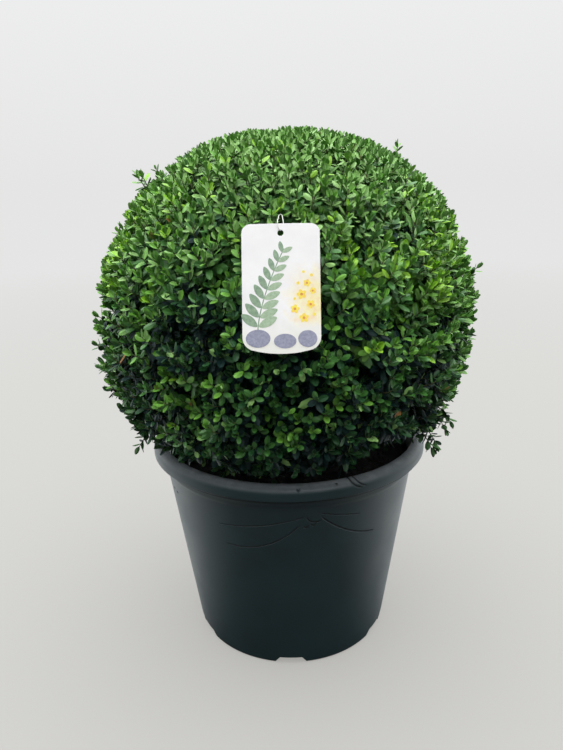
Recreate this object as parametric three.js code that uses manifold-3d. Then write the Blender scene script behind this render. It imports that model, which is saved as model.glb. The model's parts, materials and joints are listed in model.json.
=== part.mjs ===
// A clipped box ball in its nursery pot, with the plain label that hangs on its front.
// Millimetres, +Z up. The origin is the middle of the pot's underside, and the front is -Y.
import * as THREE from "three";
import { mergeVertices } from "three/addons/utils/BufferGeometryUtils.js";
import Module from "manifold-3d";

const wasm = await Module();
wasm.setup();

// Pieces that touch are drawn this far apart.
const FIT_GAP = 0.3;

// The pot: a tapered tub of one wall thickness. Near its top it flares out to a round rim, whose
// band ends in a low step.
const POT_HEIGHT = 260;
const POT_FOOT_RADIUS = 124;
const POT_SHOULDER_RADIUS = 157;
const POT_SHOULDER_HEIGHT = 230;
const POT_RIM_RADIUS = 171.2;
const POT_LIP_RADIUS = 157;
const POT_WALL = 3;
const RIM_ROUND = 9.5;
const RIM_BAND_FOOT = 243.6;
const RIM_STEP = 1.4;
const FLARE_FOOT = 226;
const FLARE_BEND = 231.5;
const POT_FOOT_ROUND = 4;
const FOOT_RING_WIDTH = 12;
const FOOT_RING_HEIGHT = 10;
const NOTCH_COUNT = 6;
const NOTCH_WIDTH = 42;
const NOTCH_TOP_WIDTH = 27;
const NOTCH_HEIGHT = 9.4;
const DRAIN_HOLE_RADIUS = 8;
const DRAIN_HOLE_RING = 92;
const POT_SIDES = 48;

// The soil fills the pot to a finger's width under the rim.
const SOIL_TOP = 236;
const SOIL_RIPPLE = 3;
const SOIL_FLAT_RADIUS = 34;

// The stem stands on the soil under the ball, a little out of plumb.
const TRUNK_TOP = 276;
const TRUNK_FOOT_RADIUS = 19;
const TRUNK_TIP_RADIUS = 11;
const TRUNK_LEAN = 3;
const TRUNK_SIDES = 12;

// The crown: a clipped ball that narrows into the pot's mouth.
const CROWN_CENTRE = new THREE.Vector3(0, 0, 403);
const CROWN_RADIUS = 225;
const CROWN_BOTTOM = 243;
const CORE_DEPTH = 30;
const TUCK_TOP = 304;
const THROAT_RADIUS = 153;
const THROAT_LEFT_SHIFT = 8;
const THROAT_FOOT_RADIUS = 140;
const STEM_RADIUS = 10;

// Broad swells and flats of the clipping: where they lie, how far out, how wide, in degrees.
const CROWN_SWELLS = [
  { azimuth: 79, elevation: 44, lift: 5, spread: 16 },
  { azimuth: -72, elevation: -14, lift: 5, spread: 14 },
  { azimuth: 70, elevation: -19, lift: -6, spread: 16 },
  { azimuth: 0, elevation: 84, lift: -4, spread: 16 },
  { azimuth: -150, elevation: 70, lift: -5, spread: 22 },
  { azimuth: 170, elevation: 5, lift: 5, spread: 24 },
];

// Shoots that have grown past the clipped face since: where, and how far past it.
const STRAY_SHOOTS = [
  { azimuth: -75, elevation: 46, reach: 15 },
  { azimuth: 77, elevation: 57, reach: 8 },
  { azimuth: 76, elevation: 17, reach: 6 },
  { azimuth: 66, elevation: -27, reach: 6 },
  { azimuth: 200, elevation: 36, reach: 14 },
];

// Boughs fan out from the head of the stem, and each twig leaves the bough that points nearest.
// Each twig carries pairs of opposite leaves. Twigs near the pot's mouth have smaller leaves.
const BOUGH_COUNT = 14;
const BOUGH_RADIUS = 5;
const BOUGH_REACH = 0.55;
const FORK_HEIGHT = 318;
const TWIG_COUNT = 152;
const TWIG_RADIUS = 3;
const TWIG_TIP_RADIUS = 2;
const TWIG_LENGTH = 18;
const TWIG_TILT = 0.14;
const LOWEST_TWIG = -50;
const MOUTH_TWIGS = -0.55;
const MOUTH_LEAF_SCALE = 0.55;
const LEAF_PAIRS = [
  { along: 0.5, length: 55, opening: 71 },
  { along: 0.92, length: 46, opening: 63 },
];
const LEAF_WIDTH = 0.64;
const LEAF_THICKNESS = 0.06;
const LEAF_ROOT = 0.7;
const LEAF_PROUD = 5;
const LEAF_GAP = 3.2;
const GOLDEN_ANGLE = Math.PI * (3 - Math.sqrt(5));

// The label: a thin card that leans on the leaves, held by a thread loop round a twig.
const LABEL_CENTRE = new THREE.Vector3(-1, -203, 474.5);
const LABEL_LEAN = 19;
const LABEL_WIDTH = 70;
const LABEL_HEIGHT = 115;
const LABEL_THICKNESS = 0.8;
const LABEL_TOP_CORNER = 8;
const LABEL_FOOT_CORNER = 12;
const LABEL_FOOT_SAG = 3;
const LABEL_HOLE_RADIUS = 2.75;
const LABEL_HOLE_DROP = 8.5;
const LABEL_CLEARANCE = 2;
const LOOP_RADIUS = 0.4;
const LOOP_SPREAD = 2.5;
const LOOP_RISE = 10;
const LOOP_SET_BACK = 9;
const LOOP_CLEARANCE = 4;
const HANGER_RADIUS = 0.6;

const radians = THREE.MathUtils.degToRad;

// A repeatable random number between 0 and 1.
function seededRandom(seed) {
  let state = seed >>> 0;
  return () => {
    state = (state + 0x6d2b79f5) >>> 0;
    let mixed = Math.imul(state ^ (state >>> 15), 1 | state);
    mixed ^= mixed + Math.imul(mixed ^ (mixed >>> 7), 61 | mixed);
    return ((mixed ^ (mixed >>> 14)) >>> 0) / 2 ** 32;
  };
}

// A direction by two angles in degrees: azimuth 0 is the front, 90 is +X; elevation 90 is up.
function directionOf(azimuth, elevation) {
  const level = Math.cos(radians(elevation));
  const turn = radians(azimuth);
  return new THREE.Vector3(Math.sin(turn) * level, -Math.cos(turn) * level, Math.sin(radians(elevation)));
}

// Shared vertices are merged, and triangles that a pole or a seam has squeezed shut are dropped.
function welded(geometry) {
  const bare = geometry.clone();
  bare.deleteAttribute("normal");
  bare.deleteAttribute("uv");
  const merged = mergeVertices(bare, 1e-4);
  const kept = [];
  const index = merged.index.array;
  for (let i = 0; i < index.length; i += 3) {
    const [a, b, c] = [index[i], index[i + 1], index[i + 2]];
    if (a !== b && b !== c && c !== a) kept.push(a, b, c);
  }
  merged.setIndex(kept);
  return merged;
}

function solidOf(geometry) {
  const merged = welded(geometry);
  return new wasm.Manifold(new wasm.Mesh({
    numProp: 3,
    vertProperties: new Float32Array(merged.attributes.position.array),
    triVerts: new Uint32Array(merged.index.array),
  }));
}

function geometryOf(solid) {
  const mesh = solid.getMesh();
  const geometry = new THREE.BufferGeometry();
  geometry.setAttribute("position", new THREE.BufferAttribute(new Float32Array(mesh.vertProperties), 3));
  geometry.setIndex(Array.from(mesh.triVerts));
  return geometry;
}

// The one shell of a geometry that has the most triangles: sealed hollows and scraps go.
function largestShell(geometry) {
  const index = geometry.index.array;
  const parent = Array.from({ length: geometry.attributes.position.count }, (_, i) => i);
  const find = (i) => {
    while (parent[i] !== i) {
      parent[i] = parent[parent[i]];
      i = parent[i];
    }
    return i;
  };
  for (let i = 0; i < index.length; i += 3) {
    parent[find(index[i])] = find(index[i + 1]);
    parent[find(index[i + 1])] = find(index[i + 2]);
  }
  const shells = new Map();
  for (let i = 0; i < index.length; i += 3) {
    const root = find(index[i]);
    if (!shells.has(root)) shells.set(root, []);
    shells.get(root).push(index[i], index[i + 1], index[i + 2]);
  }
  const largest = [...shells.values()].sort((a, b) => b.length - a.length)[0];
  const shell = geometry.clone();
  shell.setIndex(largest);
  return shell;
}

// A profile of [radius, height] pairs turned about the Z axis.
function turned(profile, sides) {
  const points = profile.map(([radius, height]) => new THREE.Vector2(radius, height));
  return new THREE.LatheGeometry(points, sides).rotateX(Math.PI / 2);
}

// A tapered rod with few sides from one point to another.
function rod(from, to, radiusFrom, radiusTo, sides) {
  const along = new THREE.Vector3().subVectors(to, from);
  const geometry = new THREE.CylinderGeometry(radiusTo, radiusFrom, along.length(), sides);
  geometry.translate(0, along.length() / 2, 0);
  const turn = new THREE.Quaternion().setFromUnitVectors(new THREE.Vector3(0, 1, 0), along.normalize());
  return geometry.applyQuaternion(turn).translate(from.x, from.y, from.z);
}

// Points of a circular arc in a profile, the end angles in degrees.
function arc(centreRadius, centreHeight, radius, from, to, steps) {
  return Array.from({ length: steps + 1 }, (_, i) => {
    const angle = radians(from + ((to - from) * i) / steps);
    return [centreRadius + radius * Math.cos(angle), centreHeight + radius * Math.sin(angle)];
  });
}

// The radius of the tapered wall's outer face at a height.
function wallRadius(height) {
  const taper = (POT_SHOULDER_RADIUS - POT_FOOT_RADIUS) / POT_SHOULDER_HEIGHT;
  return POT_FOOT_RADIUS + taper * height;
}

// The wall flares out under the rim's band, and the band rounds over to the top. The inner face
// follows the same curve.
function rimCurve(inset) {
  const centreRadius = POT_RIM_RADIUS - RIM_ROUND;
  const centreHeight = POT_HEIGHT - RIM_ROUND;
  const flare = new THREE.QuadraticBezierCurve(
    new THREE.Vector2(wallRadius(FLARE_FOOT), FLARE_FOOT),
    new THREE.Vector2(wallRadius(FLARE_BEND), FLARE_BEND),
    new THREE.Vector2(POT_RIM_RADIUS - RIM_STEP, RIM_BAND_FOOT),
  );
  return [
    ...flare.getPoints(4).map((point) => [point.x - inset, point.y]),
    [POT_RIM_RADIUS - inset, RIM_BAND_FOOT + 1],
    ...arc(centreRadius, centreHeight, RIM_ROUND - inset, 0, 90, 5),
  ];
}

function makePot() {
  const footInner = POT_FOOT_RADIUS - FOOT_RING_WIDTH;
  const floorTop = FOOT_RING_HEIGHT + POT_WALL;
  const profile = [
    [0, FOOT_RING_HEIGHT],
    [footInner - 1, FOOT_RING_HEIGHT],
    [footInner, 0],
    [POT_FOOT_RADIUS - POT_FOOT_ROUND, 0],
    [POT_FOOT_RADIUS - POT_FOOT_ROUND / 4, POT_FOOT_ROUND / 4],
    [wallRadius(POT_FOOT_ROUND), POT_FOOT_ROUND],
    ...rimCurve(0),
    [POT_LIP_RADIUS + POT_WALL / 2, POT_HEIGHT],
    [POT_LIP_RADIUS, POT_HEIGHT - POT_WALL / 2],
    [POT_LIP_RADIUS, POT_HEIGHT - POT_WALL],
    ...rimCurve(POT_WALL).reverse(),
    [wallRadius(floorTop) - POT_WALL, floorTop],
    [0, floorTop],
  ];
  let pot = solidOf(turned(profile, POT_SIDES));

  const notch = new THREE.Shape([
    new THREE.Vector2(-NOTCH_WIDTH / 2, -1),
    new THREE.Vector2(NOTCH_WIDTH / 2, -1),
    new THREE.Vector2(NOTCH_TOP_WIDTH / 2, NOTCH_HEIGHT),
    new THREE.Vector2(-NOTCH_TOP_WIDTH / 2, NOTCH_HEIGHT),
  ]);
  const notchDepth = 2 * FOOT_RING_WIDTH;
  for (let i = 0; i < NOTCH_COUNT; i += 1) {
    const turn = (i * 2 * Math.PI) / NOTCH_COUNT;
    const cut = new THREE.ExtrudeGeometry(notch, { depth: notchDepth, bevelEnabled: false });
    cut.rotateX(Math.PI / 2).translate(0, -POT_FOOT_RADIUS + 1.2 * FOOT_RING_WIDTH, 0).rotateZ(turn);
    pot = pot.subtract(solidOf(cut));
    const hole = new THREE.CylinderGeometry(DRAIN_HOLE_RADIUS, DRAIN_HOLE_RADIUS, 3 * POT_WALL, 12);
    hole.rotateX(Math.PI / 2).translate(0, -DRAIN_HOLE_RING, floorTop - POT_WALL / 2).rotateZ(turn);
    pot = pot.subtract(solidOf(hole));
  }
  return geometryOf(pot);
}

function makeSoil() {
  const bottom = FOOT_RING_HEIGHT + POT_WALL + FIT_GAP;
  const wallAt = (height) => wallRadius(height) - POT_WALL - 2 * FIT_GAP;
  const edgeHeight = POT_SHOULDER_HEIGHT;
  const profile = [
    [0, bottom],
    [wallAt(bottom), bottom],
    [wallAt(edgeHeight), edgeHeight],
    [wallAt(edgeHeight) - 6, SOIL_TOP - SOIL_RIPPLE],
    [110, SOIL_TOP - SOIL_RIPPLE],
    [75, SOIL_TOP - 1],
    [SOIL_FLAT_RADIUS, SOIL_TOP],
    [0, SOIL_TOP],
  ];
  const soil = turned(profile, POT_SIDES);
  const place = soil.attributes.position;
  for (let i = 0; i < place.count; i += 1) {
    const distance = Math.hypot(place.getX(i), place.getY(i));
    if (place.getZ(i) > edgeHeight && distance > SOIL_FLAT_RADIUS + 1) {
      const turn = Math.atan2(place.getY(i), place.getX(i));
      place.setZ(i, place.getZ(i) + (SOIL_RIPPLE / 2) * Math.sin(7 * turn + distance));
    }
  }
  return welded(soil);
}

// The stem flares at its foot in four low ridges, and it narrows and leans towards its tip.
function makeTrunk() {
  const rings = [0, 0.12, 0.35, 0.7, 1];
  const foot = SOIL_TOP + FIT_GAP;
  const height = TRUNK_TOP - foot;
  const profile = rings.map((share) => {
    const flare = (TRUNK_FOOT_RADIUS - TRUNK_TIP_RADIUS - 2) * Math.exp(-6 * share);
    return [TRUNK_TIP_RADIUS + 2 * (1 - share) + flare, foot + height * share];
  });
  const trunk = turned([[0, foot], ...profile, [0, TRUNK_TOP]], TRUNK_SIDES);
  const place = trunk.attributes.position;
  for (let i = 0; i < place.count; i += 1) {
    const share = (place.getZ(i) - foot) / height;
    const turn = Math.atan2(place.getY(i), place.getX(i));
    const ridge = 1 + 0.14 * Math.exp(-5 * share) * Math.sin(4 * turn);
    place.setX(i, place.getX(i) * ridge + TRUNK_LEAN * share);
    place.setY(i, place.getY(i) * ridge);
  }
  return welded(trunk);
}

const swells = CROWN_SWELLS.map((swell) => ({
  toward: directionOf(swell.azimuth, swell.elevation),
  lift: swell.lift,
  spread: radians(swell.spread),
}));

// How far the clipped face lies from the ball's centre, in a direction.
function crownRadius(direction) {
  return swells.reduce((radius, swell) => {
    const apart = direction.angleTo(swell.toward) / swell.spread;
    return radius + swell.lift * Math.exp(-apart * apart);
  }, CROWN_RADIUS);
}

// How far from the axis the crown may reach low down, where it narrows into the pot's mouth.
function tuckRadius(point) {
  const level = Math.hypot(point.x, point.y);
  const throat = THROAT_RADIUS - (THROAT_LEFT_SHIFT * Math.min(point.x, 0)) / Math.max(level, 1);
  const mouth = POT_HEIGHT + 4;
  if (point.z >= mouth) {
    const drop = CROWN_CENTRE.z - TUCK_TOP;
    const ball = Math.sqrt((CROWN_RADIUS + 8) ** 2 - drop ** 2);
    const rise = Math.min((point.z - mouth) / (TUCK_TOP - mouth), 1);
    return point.z > TUCK_TOP ? Infinity : throat + (ball - throat) * Math.sin((rise * Math.PI) / 2);
  }
  const share = Math.max((point.z - CROWN_BOTTOM) / (mouth - CROWN_BOTTOM), 0);
  return THROAT_FOOT_RADIUS + (THROAT_RADIUS - THROAT_FOOT_RADIUS) * share;
}

function insideCrown(point, reach) {
  const offset = new THREE.Vector3().subVectors(point, CROWN_CENTRE);
  const distance = offset.length();
  if (point.z < CROWN_BOTTOM || Math.hypot(point.x, point.y) > tuckRadius(point)) return false;
  return distance <= crownRadius(offset.normalize()) + reach;
}

// The core: the ball less the depth of the leaves, cut to a bowl over the soil and the stem.
function makeCore() {
  const ball = new THREE.SphereGeometry(1, 30, 20).rotateX(Math.PI / 2);
  const place = ball.attributes.position;
  for (let i = 0; i < place.count; i += 1) {
    const direction = new THREE.Vector3().fromBufferAttribute(place, i).normalize();
    const point = direction.clone().multiplyScalar(crownRadius(direction) - CORE_DEPTH).add(CROWN_CENTRE);
    place.setXYZ(i, point.x, point.y, point.z);
  }
  const side = CROWN_RADIUS + 20;
  const bowl = turned([
    [0, TRUNK_TOP + 12],
    [34, TRUNK_TOP + 8],
    [70, CROWN_BOTTOM + 22],
    [THROAT_FOOT_RADIUS - 9, CROWN_BOTTOM + 6],
    [THROAT_RADIUS - 10, POT_HEIGHT + 3],
    [THROAT_RADIUS + 14, TUCK_TOP - 18],
    [side, TUCK_TOP + 34],
    [side, CROWN_CENTRE.z + side],
    [0, CROWN_CENTRE.z + side],
  ], 36);
  return solidOf(ball).intersect(solidOf(bowl));
}

const label = new THREE.Group();
label.position.copy(LABEL_CENTRE);
label.rotation.x = Math.PI / 2 - radians(LABEL_LEAN);
label.updateMatrixWorld(true);
const toLabel = label.matrixWorld.clone().invert();

// The height of the bare twig that carries the thread, in the label's own frame.
const HANGER_HEIGHT = LABEL_HEIGHT / 2 + LOOP_RISE - HANGER_RADIUS;

// The thread, in the label's own frame: up the card's front, over the twig, and down behind.
function loopPath() {
  const edge = LABEL_HEIGHT / 2;
  const seat = edge - LABEL_HOLE_DROP + LABEL_HOLE_RADIUS - LOOP_RADIUS - FIT_GAP;
  const proud = LABEL_THICKNESS / 2 + LOOP_RADIUS + 2 * FIT_GAP;
  const bend = HANGER_RADIUS + LOOP_RADIUS + 1.5 * FIT_GAP;
  const half = (side) => [
    new THREE.Vector3(side * 1.1, seat + 1.5, -side * proud),
    new THREE.Vector3(side * 0.85 * LOOP_SPREAD, edge - 3, -side * proud),
    new THREE.Vector3(side * LOOP_SPREAD, edge + 1.5, -side * proud - 0.6),
    new THREE.Vector3(side * 0.7 * LOOP_SPREAD, HANGER_HEIGHT - 2, -0.8 * LOOP_SET_BACK),
    new THREE.Vector3(side * bend * 0.87, HANGER_HEIGHT + bend * 0.5, -LOOP_SET_BACK),
  ];
  const seatPoint = new THREE.Vector3(0, seat, 0);
  const apex = new THREE.Vector3(0, HANGER_HEIGHT + bend, -LOOP_SET_BACK);
  const points = [seatPoint, ...half(-1), apex, ...half(1).reverse()];
  return new THREE.CatmullRomCurve3(points, true, "centripetal");
}

const loopCurve = loopPath();
const loopPoints = loopCurve.getSpacedPoints(60);

// Leaves keep off the card, off what lies straight in front of it, and off the thread.
function clearOfLabel(point) {
  const local = point.clone().applyMatrix4(toLabel);
  const overCard = Math.abs(local.x) < LABEL_WIDTH / 2 + LABEL_CLEARANCE
    && Math.abs(local.y + LABEL_FOOT_SAG / 2) < (LABEL_HEIGHT + LABEL_FOOT_SAG) / 2 + LABEL_CLEARANCE;
  if (overCard && local.z > -LABEL_THICKNESS / 2 - LABEL_CLEARANCE) return false;
  return loopPoints.every((spot) => spot.distanceTo(local) > LOOP_CLEARANCE);
}

// A leaf is a long flat tetrahedron, so it is cupped: its keel runs from root to tip, and its
// sides stand up from that.
function leafGeometry(leaf) {
  const half = 1 / Math.sqrt(8);
  const shape = new THREE.TetrahedronGeometry(Math.sqrt(3)).rotateZ(-Math.PI / 4).rotateX(Math.PI);
  shape.scale(leaf.length * half, leaf.length * LEAF_WIDTH * half, (leaf.length * LEAF_THICKNESS) / 2);
  shape.translate(leaf.length / 2, 0, 0);
  const turn = new THREE.Matrix4().makeBasis(leaf.along, leaf.side, leaf.face);
  return shape.applyMatrix4(turn.setPosition(leaf.root));
}

// Points all over the leaf's diamond outline, by which its place is tested.
function leafSpots(leaf) {
  const spots = [];
  for (let i = 0; i <= 10; i += 1) {
    const share = i / 10;
    const half = (leaf.length * LEAF_WIDTH * (1 - Math.abs(2 * share - 1))) / 2;
    for (const across of [-1, -0.5, 0, 0.5, 1]) {
      const spot = leaf.root.clone().addScaledVector(leaf.along, leaf.length * share);
      spots.push(spot.addScaledVector(leaf.side, half * across));
    }
  }
  return spots;
}

// Leaves of different twigs stand free of each other.
function clearOfLeaves(spots, others) {
  return others.every((other) => other.spots[0].distanceTo(spots[0]) > 2 * LEAF_PAIRS[0].length
    || other.spots.every((place) => spots.every((spot) => spot.distanceTo(place) > LEAF_GAP)));
}

// One twig out of the core with its pairs of opposite leaves, each pair a quarter turn on.
function growTwig(direction, reach, random, grown) {
  const pieces = [];
  const surface = crownRadius(direction) - CORE_DEPTH;
  const tilt = new THREE.Vector3(random() - 0.5, random() - 0.5, random() - 0.2);
  const heading = direction.clone().addScaledVector(tilt, 2 * TWIG_TILT).normalize();
  const from = direction.clone().multiplyScalar(surface - 6).add(CROWN_CENTRE);
  const length = TWIG_LENGTH + reach;
  const leafScale = direction.z < MOUTH_TWIGS ? MOUTH_LEAF_SCALE : 1;
  const to = from.clone().addScaledVector(heading, length);
  const onTwig = (share) => from.clone().lerp(to, share);
  if (!insideCrown(to, reach) || !clearOfLabel(to)) return pieces;
  pieces.push(rod(from, to, TWIG_RADIUS, TWIG_TIP_RADIUS, 3));

  const across = new THREE.Vector3(0, 0, 1).cross(heading).normalize();
  const startTurn = random() * Math.PI;
  const leaves = [];
  LEAF_PAIRS.forEach((pair, k) => {
    for (const half of [0, Math.PI]) {
      const turn = startTurn + half + (k * Math.PI) / 2 + 0.3 * (random() - 0.5);
      const outward = across.clone().applyAxisAngle(heading, turn);
      const opening = radians(pair.opening + 14 * (random() - 0.5));
      const along = heading.clone().multiplyScalar(Math.cos(opening));
      along.addScaledVector(outward, Math.sin(opening)).normalize();
      const side = new THREE.Vector3().crossVectors(heading, along).normalize();
      const leaf = {
        root: onTwig(pair.along).addScaledVector(along, -LEAF_ROOT),
        along,
        side,
        face: new THREE.Vector3().crossVectors(along, side),
        length: leafScale * pair.length * (0.88 + 0.2 * random()),
      };
      leaf.spots = leafSpots(leaf);
      const limit = reach + LEAF_PROUD;
      const inPlace = leaf.spots.every((spot) => insideCrown(spot, limit) && clearOfLabel(spot));
      if (inPlace && clearOfLeaves(leaf.spots, grown)) leaves.push(leaf);
    }
  });
  grown.push(...leaves);
  pieces.push(...leaves.map(leafGeometry));
  return pieces;
}

// Directions spread evenly over the ball, from straight up down to a lowest elevation.
function spiralDirections(count, lowest) {
  const floor = Math.sin(radians(lowest));
  return Array.from({ length: count }, (_, i) => {
    const height = 1 - (1 - floor) * ((i + 0.5) / count);
    const turn = i * GOLDEN_ANGLE;
    const level = Math.sqrt(1 - height * height);
    return new THREE.Vector3(level * Math.cos(turn), level * Math.sin(turn), height);
  });
}

// The crown's own wood: one stem from the trunk's tip, its boughs, and the roots of the twigs.
function makeLimbs(twigDirections) {
  const stemFoot = new THREE.Vector3(TRUNK_LEAN, 0, TRUNK_TOP + FIT_GAP);
  const fork = new THREE.Vector3(TRUNK_LEAN, 0, FORK_HEIGHT);
  const limbs = [rod(stemFoot, fork, STEM_RADIUS, STEM_RADIUS - 2, 8)];
  const boughs = spiralDirections(BOUGH_COUNT, LOWEST_TWIG / 2);
  const boughTip = (direction) => direction.clone().multiplyScalar(BOUGH_REACH * CROWN_RADIUS)
    .add(CROWN_CENTRE);
  boughs.forEach((direction) => limbs.push(rod(fork, boughTip(direction), BOUGH_RADIUS, 3, 3)));
  twigDirections.forEach((direction) => {
    const nearest = boughs.reduce((best, bough) => (
      bough.dot(direction) > best.dot(direction) ? bough : best));
    const root = direction.clone().multiplyScalar(crownRadius(direction) - CORE_DEPTH - 4);
    limbs.push(rod(boughTip(nearest), root.add(CROWN_CENTRE), 3, TWIG_RADIUS, 3));
  });
  return limbs;
}

// The bare twig that carries the label's thread, square to the card.
function makeHanger() {
  const tip = new THREE.Vector3(0, HANGER_HEIGHT, -LOOP_SET_BACK + 4).applyMatrix4(label.matrixWorld);
  const root = new THREE.Vector3(0, HANGER_HEIGHT, -LOOP_SET_BACK - 40).applyMatrix4(label.matrixWorld);
  return rod(root, tip, HANGER_RADIUS, HANGER_RADIUS, 6);
}

function makeFoliage() {
  const random = seededRandom(29);
  const directions = spiralDirections(TWIG_COUNT, LOWEST_TWIG);
  const pieces = [...makeLimbs(directions), makeHanger()];
  const grown = [];
  directions.forEach((direction) => pieces.push(...growTwig(direction, 0, random, grown)));
  STRAY_SHOOTS.forEach((stray) => {
    const direction = directionOf(stray.azimuth, stray.elevation);
    pieces.push(...growTwig(direction, stray.reach, random, grown));
  });
  const joined = pieces.reduce((crown, piece) => crown.add(solidOf(piece)), makeCore());
  return largestShell(geometryOf(joined));
}

// The card's corners are round, and its foot is a shallow arc that runs smoothly into them.
function makeLabelCard() {
  const [x, y] = [LABEL_WIDTH / 2, LABEL_HEIGHT / 2];
  const [r, foot] = [LABEL_TOP_CORNER, LABEL_FOOT_CORNER];
  const span = x - foot;
  const bend = (span ** 2 + LABEL_FOOT_SAG ** 2) / (2 * LABEL_FOOT_SAG);
  const lean = Math.asin(span / bend);
  const down = 1.5 * Math.PI;
  const outline = new THREE.Shape();
  outline.absarc(x - r, y - r, r, 0, Math.PI / 2);
  outline.absarc(-x + r, y - r, r, Math.PI / 2, Math.PI);
  outline.absarc(-span, -y + foot, foot, Math.PI, down - lean);
  outline.absarc(0, -y - LABEL_FOOT_SAG + foot + bend, foot + bend, down - lean, down + lean);
  outline.absarc(span, -y + foot, foot, down + lean, 2 * Math.PI);
  const hole = new THREE.Path();
  hole.absarc(0, y - LABEL_HOLE_DROP, LABEL_HOLE_RADIUS, 0, 2 * Math.PI, true);
  outline.holes.push(hole);
  const card = new THREE.ExtrudeGeometry(outline, {
    depth: LABEL_THICKNESS,
    bevelEnabled: false,
    curveSegments: 6,
  });
  return welded(card.translate(0, 0, -LABEL_THICKNESS / 2));
}

function makeLabelLoop() {
  return welded(new THREE.TubeGeometry(loopCurve, 44, LOOP_RADIUS, 6, true));
}

function part(name, geometry, color, roughness) {
  const material = new THREE.MeshStandardMaterial({ color, roughness, metalness: 0 });
  const mesh = new THREE.Mesh(geometry, material);
  mesh.name = name;
  return mesh;
}

const group = new THREE.Group();
group.add(part("pot", makePot(), "#2b3238", 0.5));
group.add(part("soil", makeSoil(), "#241a12", 1));
group.add(part("trunk", makeTrunk(), "#5d5140", 0.9));
group.add(part("foliage_ball", makeFoliage(), "#2f6a24", 0.55));
label.add(part("label_card", makeLabelCard(), "#e8e6dc", 0.6));
label.add(part("label_loop", makeLabelLoop(), "#e4e4e0", 0.6));
group.add(label);

export default group;
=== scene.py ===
# %% [markdown]
# # A clipped box ball in its nursery pot
#
# The plant is already there as plain solids: a pot, its soil, a short stem, one clipped mass of
# leaves, and a label on a thread. This lesson gives each of them the surface of the real thing.
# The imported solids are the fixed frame. Each new piece stands where its solid stands and takes
# its place, so the solids' sizes are repeated here in metres. A few of them were measured once
# more for the picture: the foot of the rim's band, the label's foot and one low swell of the ball
# differ from the solids by less than 5 millimetres.

# %% Load the frame
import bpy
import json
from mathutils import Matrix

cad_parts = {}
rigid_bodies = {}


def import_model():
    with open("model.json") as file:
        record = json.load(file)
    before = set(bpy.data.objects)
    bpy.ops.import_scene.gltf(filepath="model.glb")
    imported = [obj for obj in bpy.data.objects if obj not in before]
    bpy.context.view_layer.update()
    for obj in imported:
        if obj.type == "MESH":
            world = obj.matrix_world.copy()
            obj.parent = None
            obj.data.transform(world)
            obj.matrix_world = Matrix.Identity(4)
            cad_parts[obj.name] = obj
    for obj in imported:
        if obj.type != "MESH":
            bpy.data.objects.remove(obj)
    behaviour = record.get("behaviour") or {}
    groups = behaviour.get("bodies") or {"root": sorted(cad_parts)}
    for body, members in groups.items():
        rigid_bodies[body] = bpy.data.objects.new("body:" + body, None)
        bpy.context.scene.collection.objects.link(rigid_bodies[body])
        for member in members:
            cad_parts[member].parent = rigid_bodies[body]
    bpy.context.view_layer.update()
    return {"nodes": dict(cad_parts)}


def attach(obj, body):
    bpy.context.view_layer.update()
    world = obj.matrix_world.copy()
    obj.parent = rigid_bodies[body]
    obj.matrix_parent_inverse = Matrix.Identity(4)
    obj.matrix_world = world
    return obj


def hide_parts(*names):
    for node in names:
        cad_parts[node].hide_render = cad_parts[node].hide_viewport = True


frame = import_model()

print("solids in the frame:", ", ".join(sorted(frame["nodes"])))

# %% Modules and units
import json
from math import ceil, cos, pi, radians, sin, sqrt

import bmesh
import bpy
import numpy as np
from mathutils import Matrix, Vector, noise

MM = 0.001
SEED = 29
random = np.random.default_rng(SEED)
print("everything random follows from the seed", SEED)

# %% [markdown]
# ## The camera
#
# A camera is a place, three angles and a focal length. All of them were worked out from the
# photograph, so the picture can be laid over it. The focal length was found in pixels of a
# 563 by 750 picture. Blender wants millimetres on a sensor, and on an upright picture the sensor
# width counts along the long side.

# %% Camera
def add_object(name, data):
    """A new object in the scene that holds the data."""
    made = bpy.data.objects.new(name, data)
    bpy.context.scene.collection.objects.link(made)
    return made


PICTURE_HEIGHT = 750
FOCAL_PIXELS = 635.7
SENSOR = 36.0
CAMERA_PLACE = Vector((0.0122, -0.7649, 0.5655))
CAMERA_YAW, CAMERA_PITCH, CAMERA_ROLL = radians(-1.48), radians(17.01), radians(-1.21)

ahead = Vector((
    sin(CAMERA_YAW) * cos(CAMERA_PITCH),
    cos(CAMERA_YAW) * cos(CAMERA_PITCH),
    -sin(CAMERA_PITCH),
))
level_right = ahead.cross(Vector((0, 0, 1))).normalized()
level_up = level_right.cross(ahead)
right = cos(CAMERA_ROLL) * level_right + sin(CAMERA_ROLL) * level_up
upward = cos(CAMERA_ROLL) * level_up - sin(CAMERA_ROLL) * level_right

camera = add_object("camera", bpy.data.cameras.new("camera"))
camera.data.sensor_width = SENSOR
camera.data.lens = FOCAL_PIXELS / PICTURE_HEIGHT * SENSOR
turn = Matrix((right, upward, -ahead)).transposed()
camera.matrix_world = Matrix.Translation(CAMERA_PLACE) @ turn.to_4x4()
bpy.context.scene.camera = camera
print(f"camera: {camera.data.lens:.1f} mm lens, {CAMERA_PLACE.length:.2f} m from the pot's foot")

# %% [markdown]
# ## Nodes in few words
#
# Materials, the sky and Geometry Nodes are all trees of nodes. Building them by hand takes many
# lines that say little, so a few helpers carry the whole file: they feed a socket with a value or
# a link, add a node, do a sum, blend two colours, or stretch a range.

# %% Node helpers
def feed(tree, socket, value):
    """Links an output into the socket, or sets the socket's own value."""
    if isinstance(value, bpy.types.NodeSocket):
        tree.links.new(value, socket)
    else:
        socket.default_value = value


def add_node(tree, kind, inputs=None, **settings):
    """One node, with its settings, and its sockets fed by name."""
    made = tree.nodes.new(kind)
    for key, value in settings.items():
        setattr(made, key, value)
    for name, value in (inputs or {}).items():
        feed(tree, made.inputs[name], value)
    return made


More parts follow.
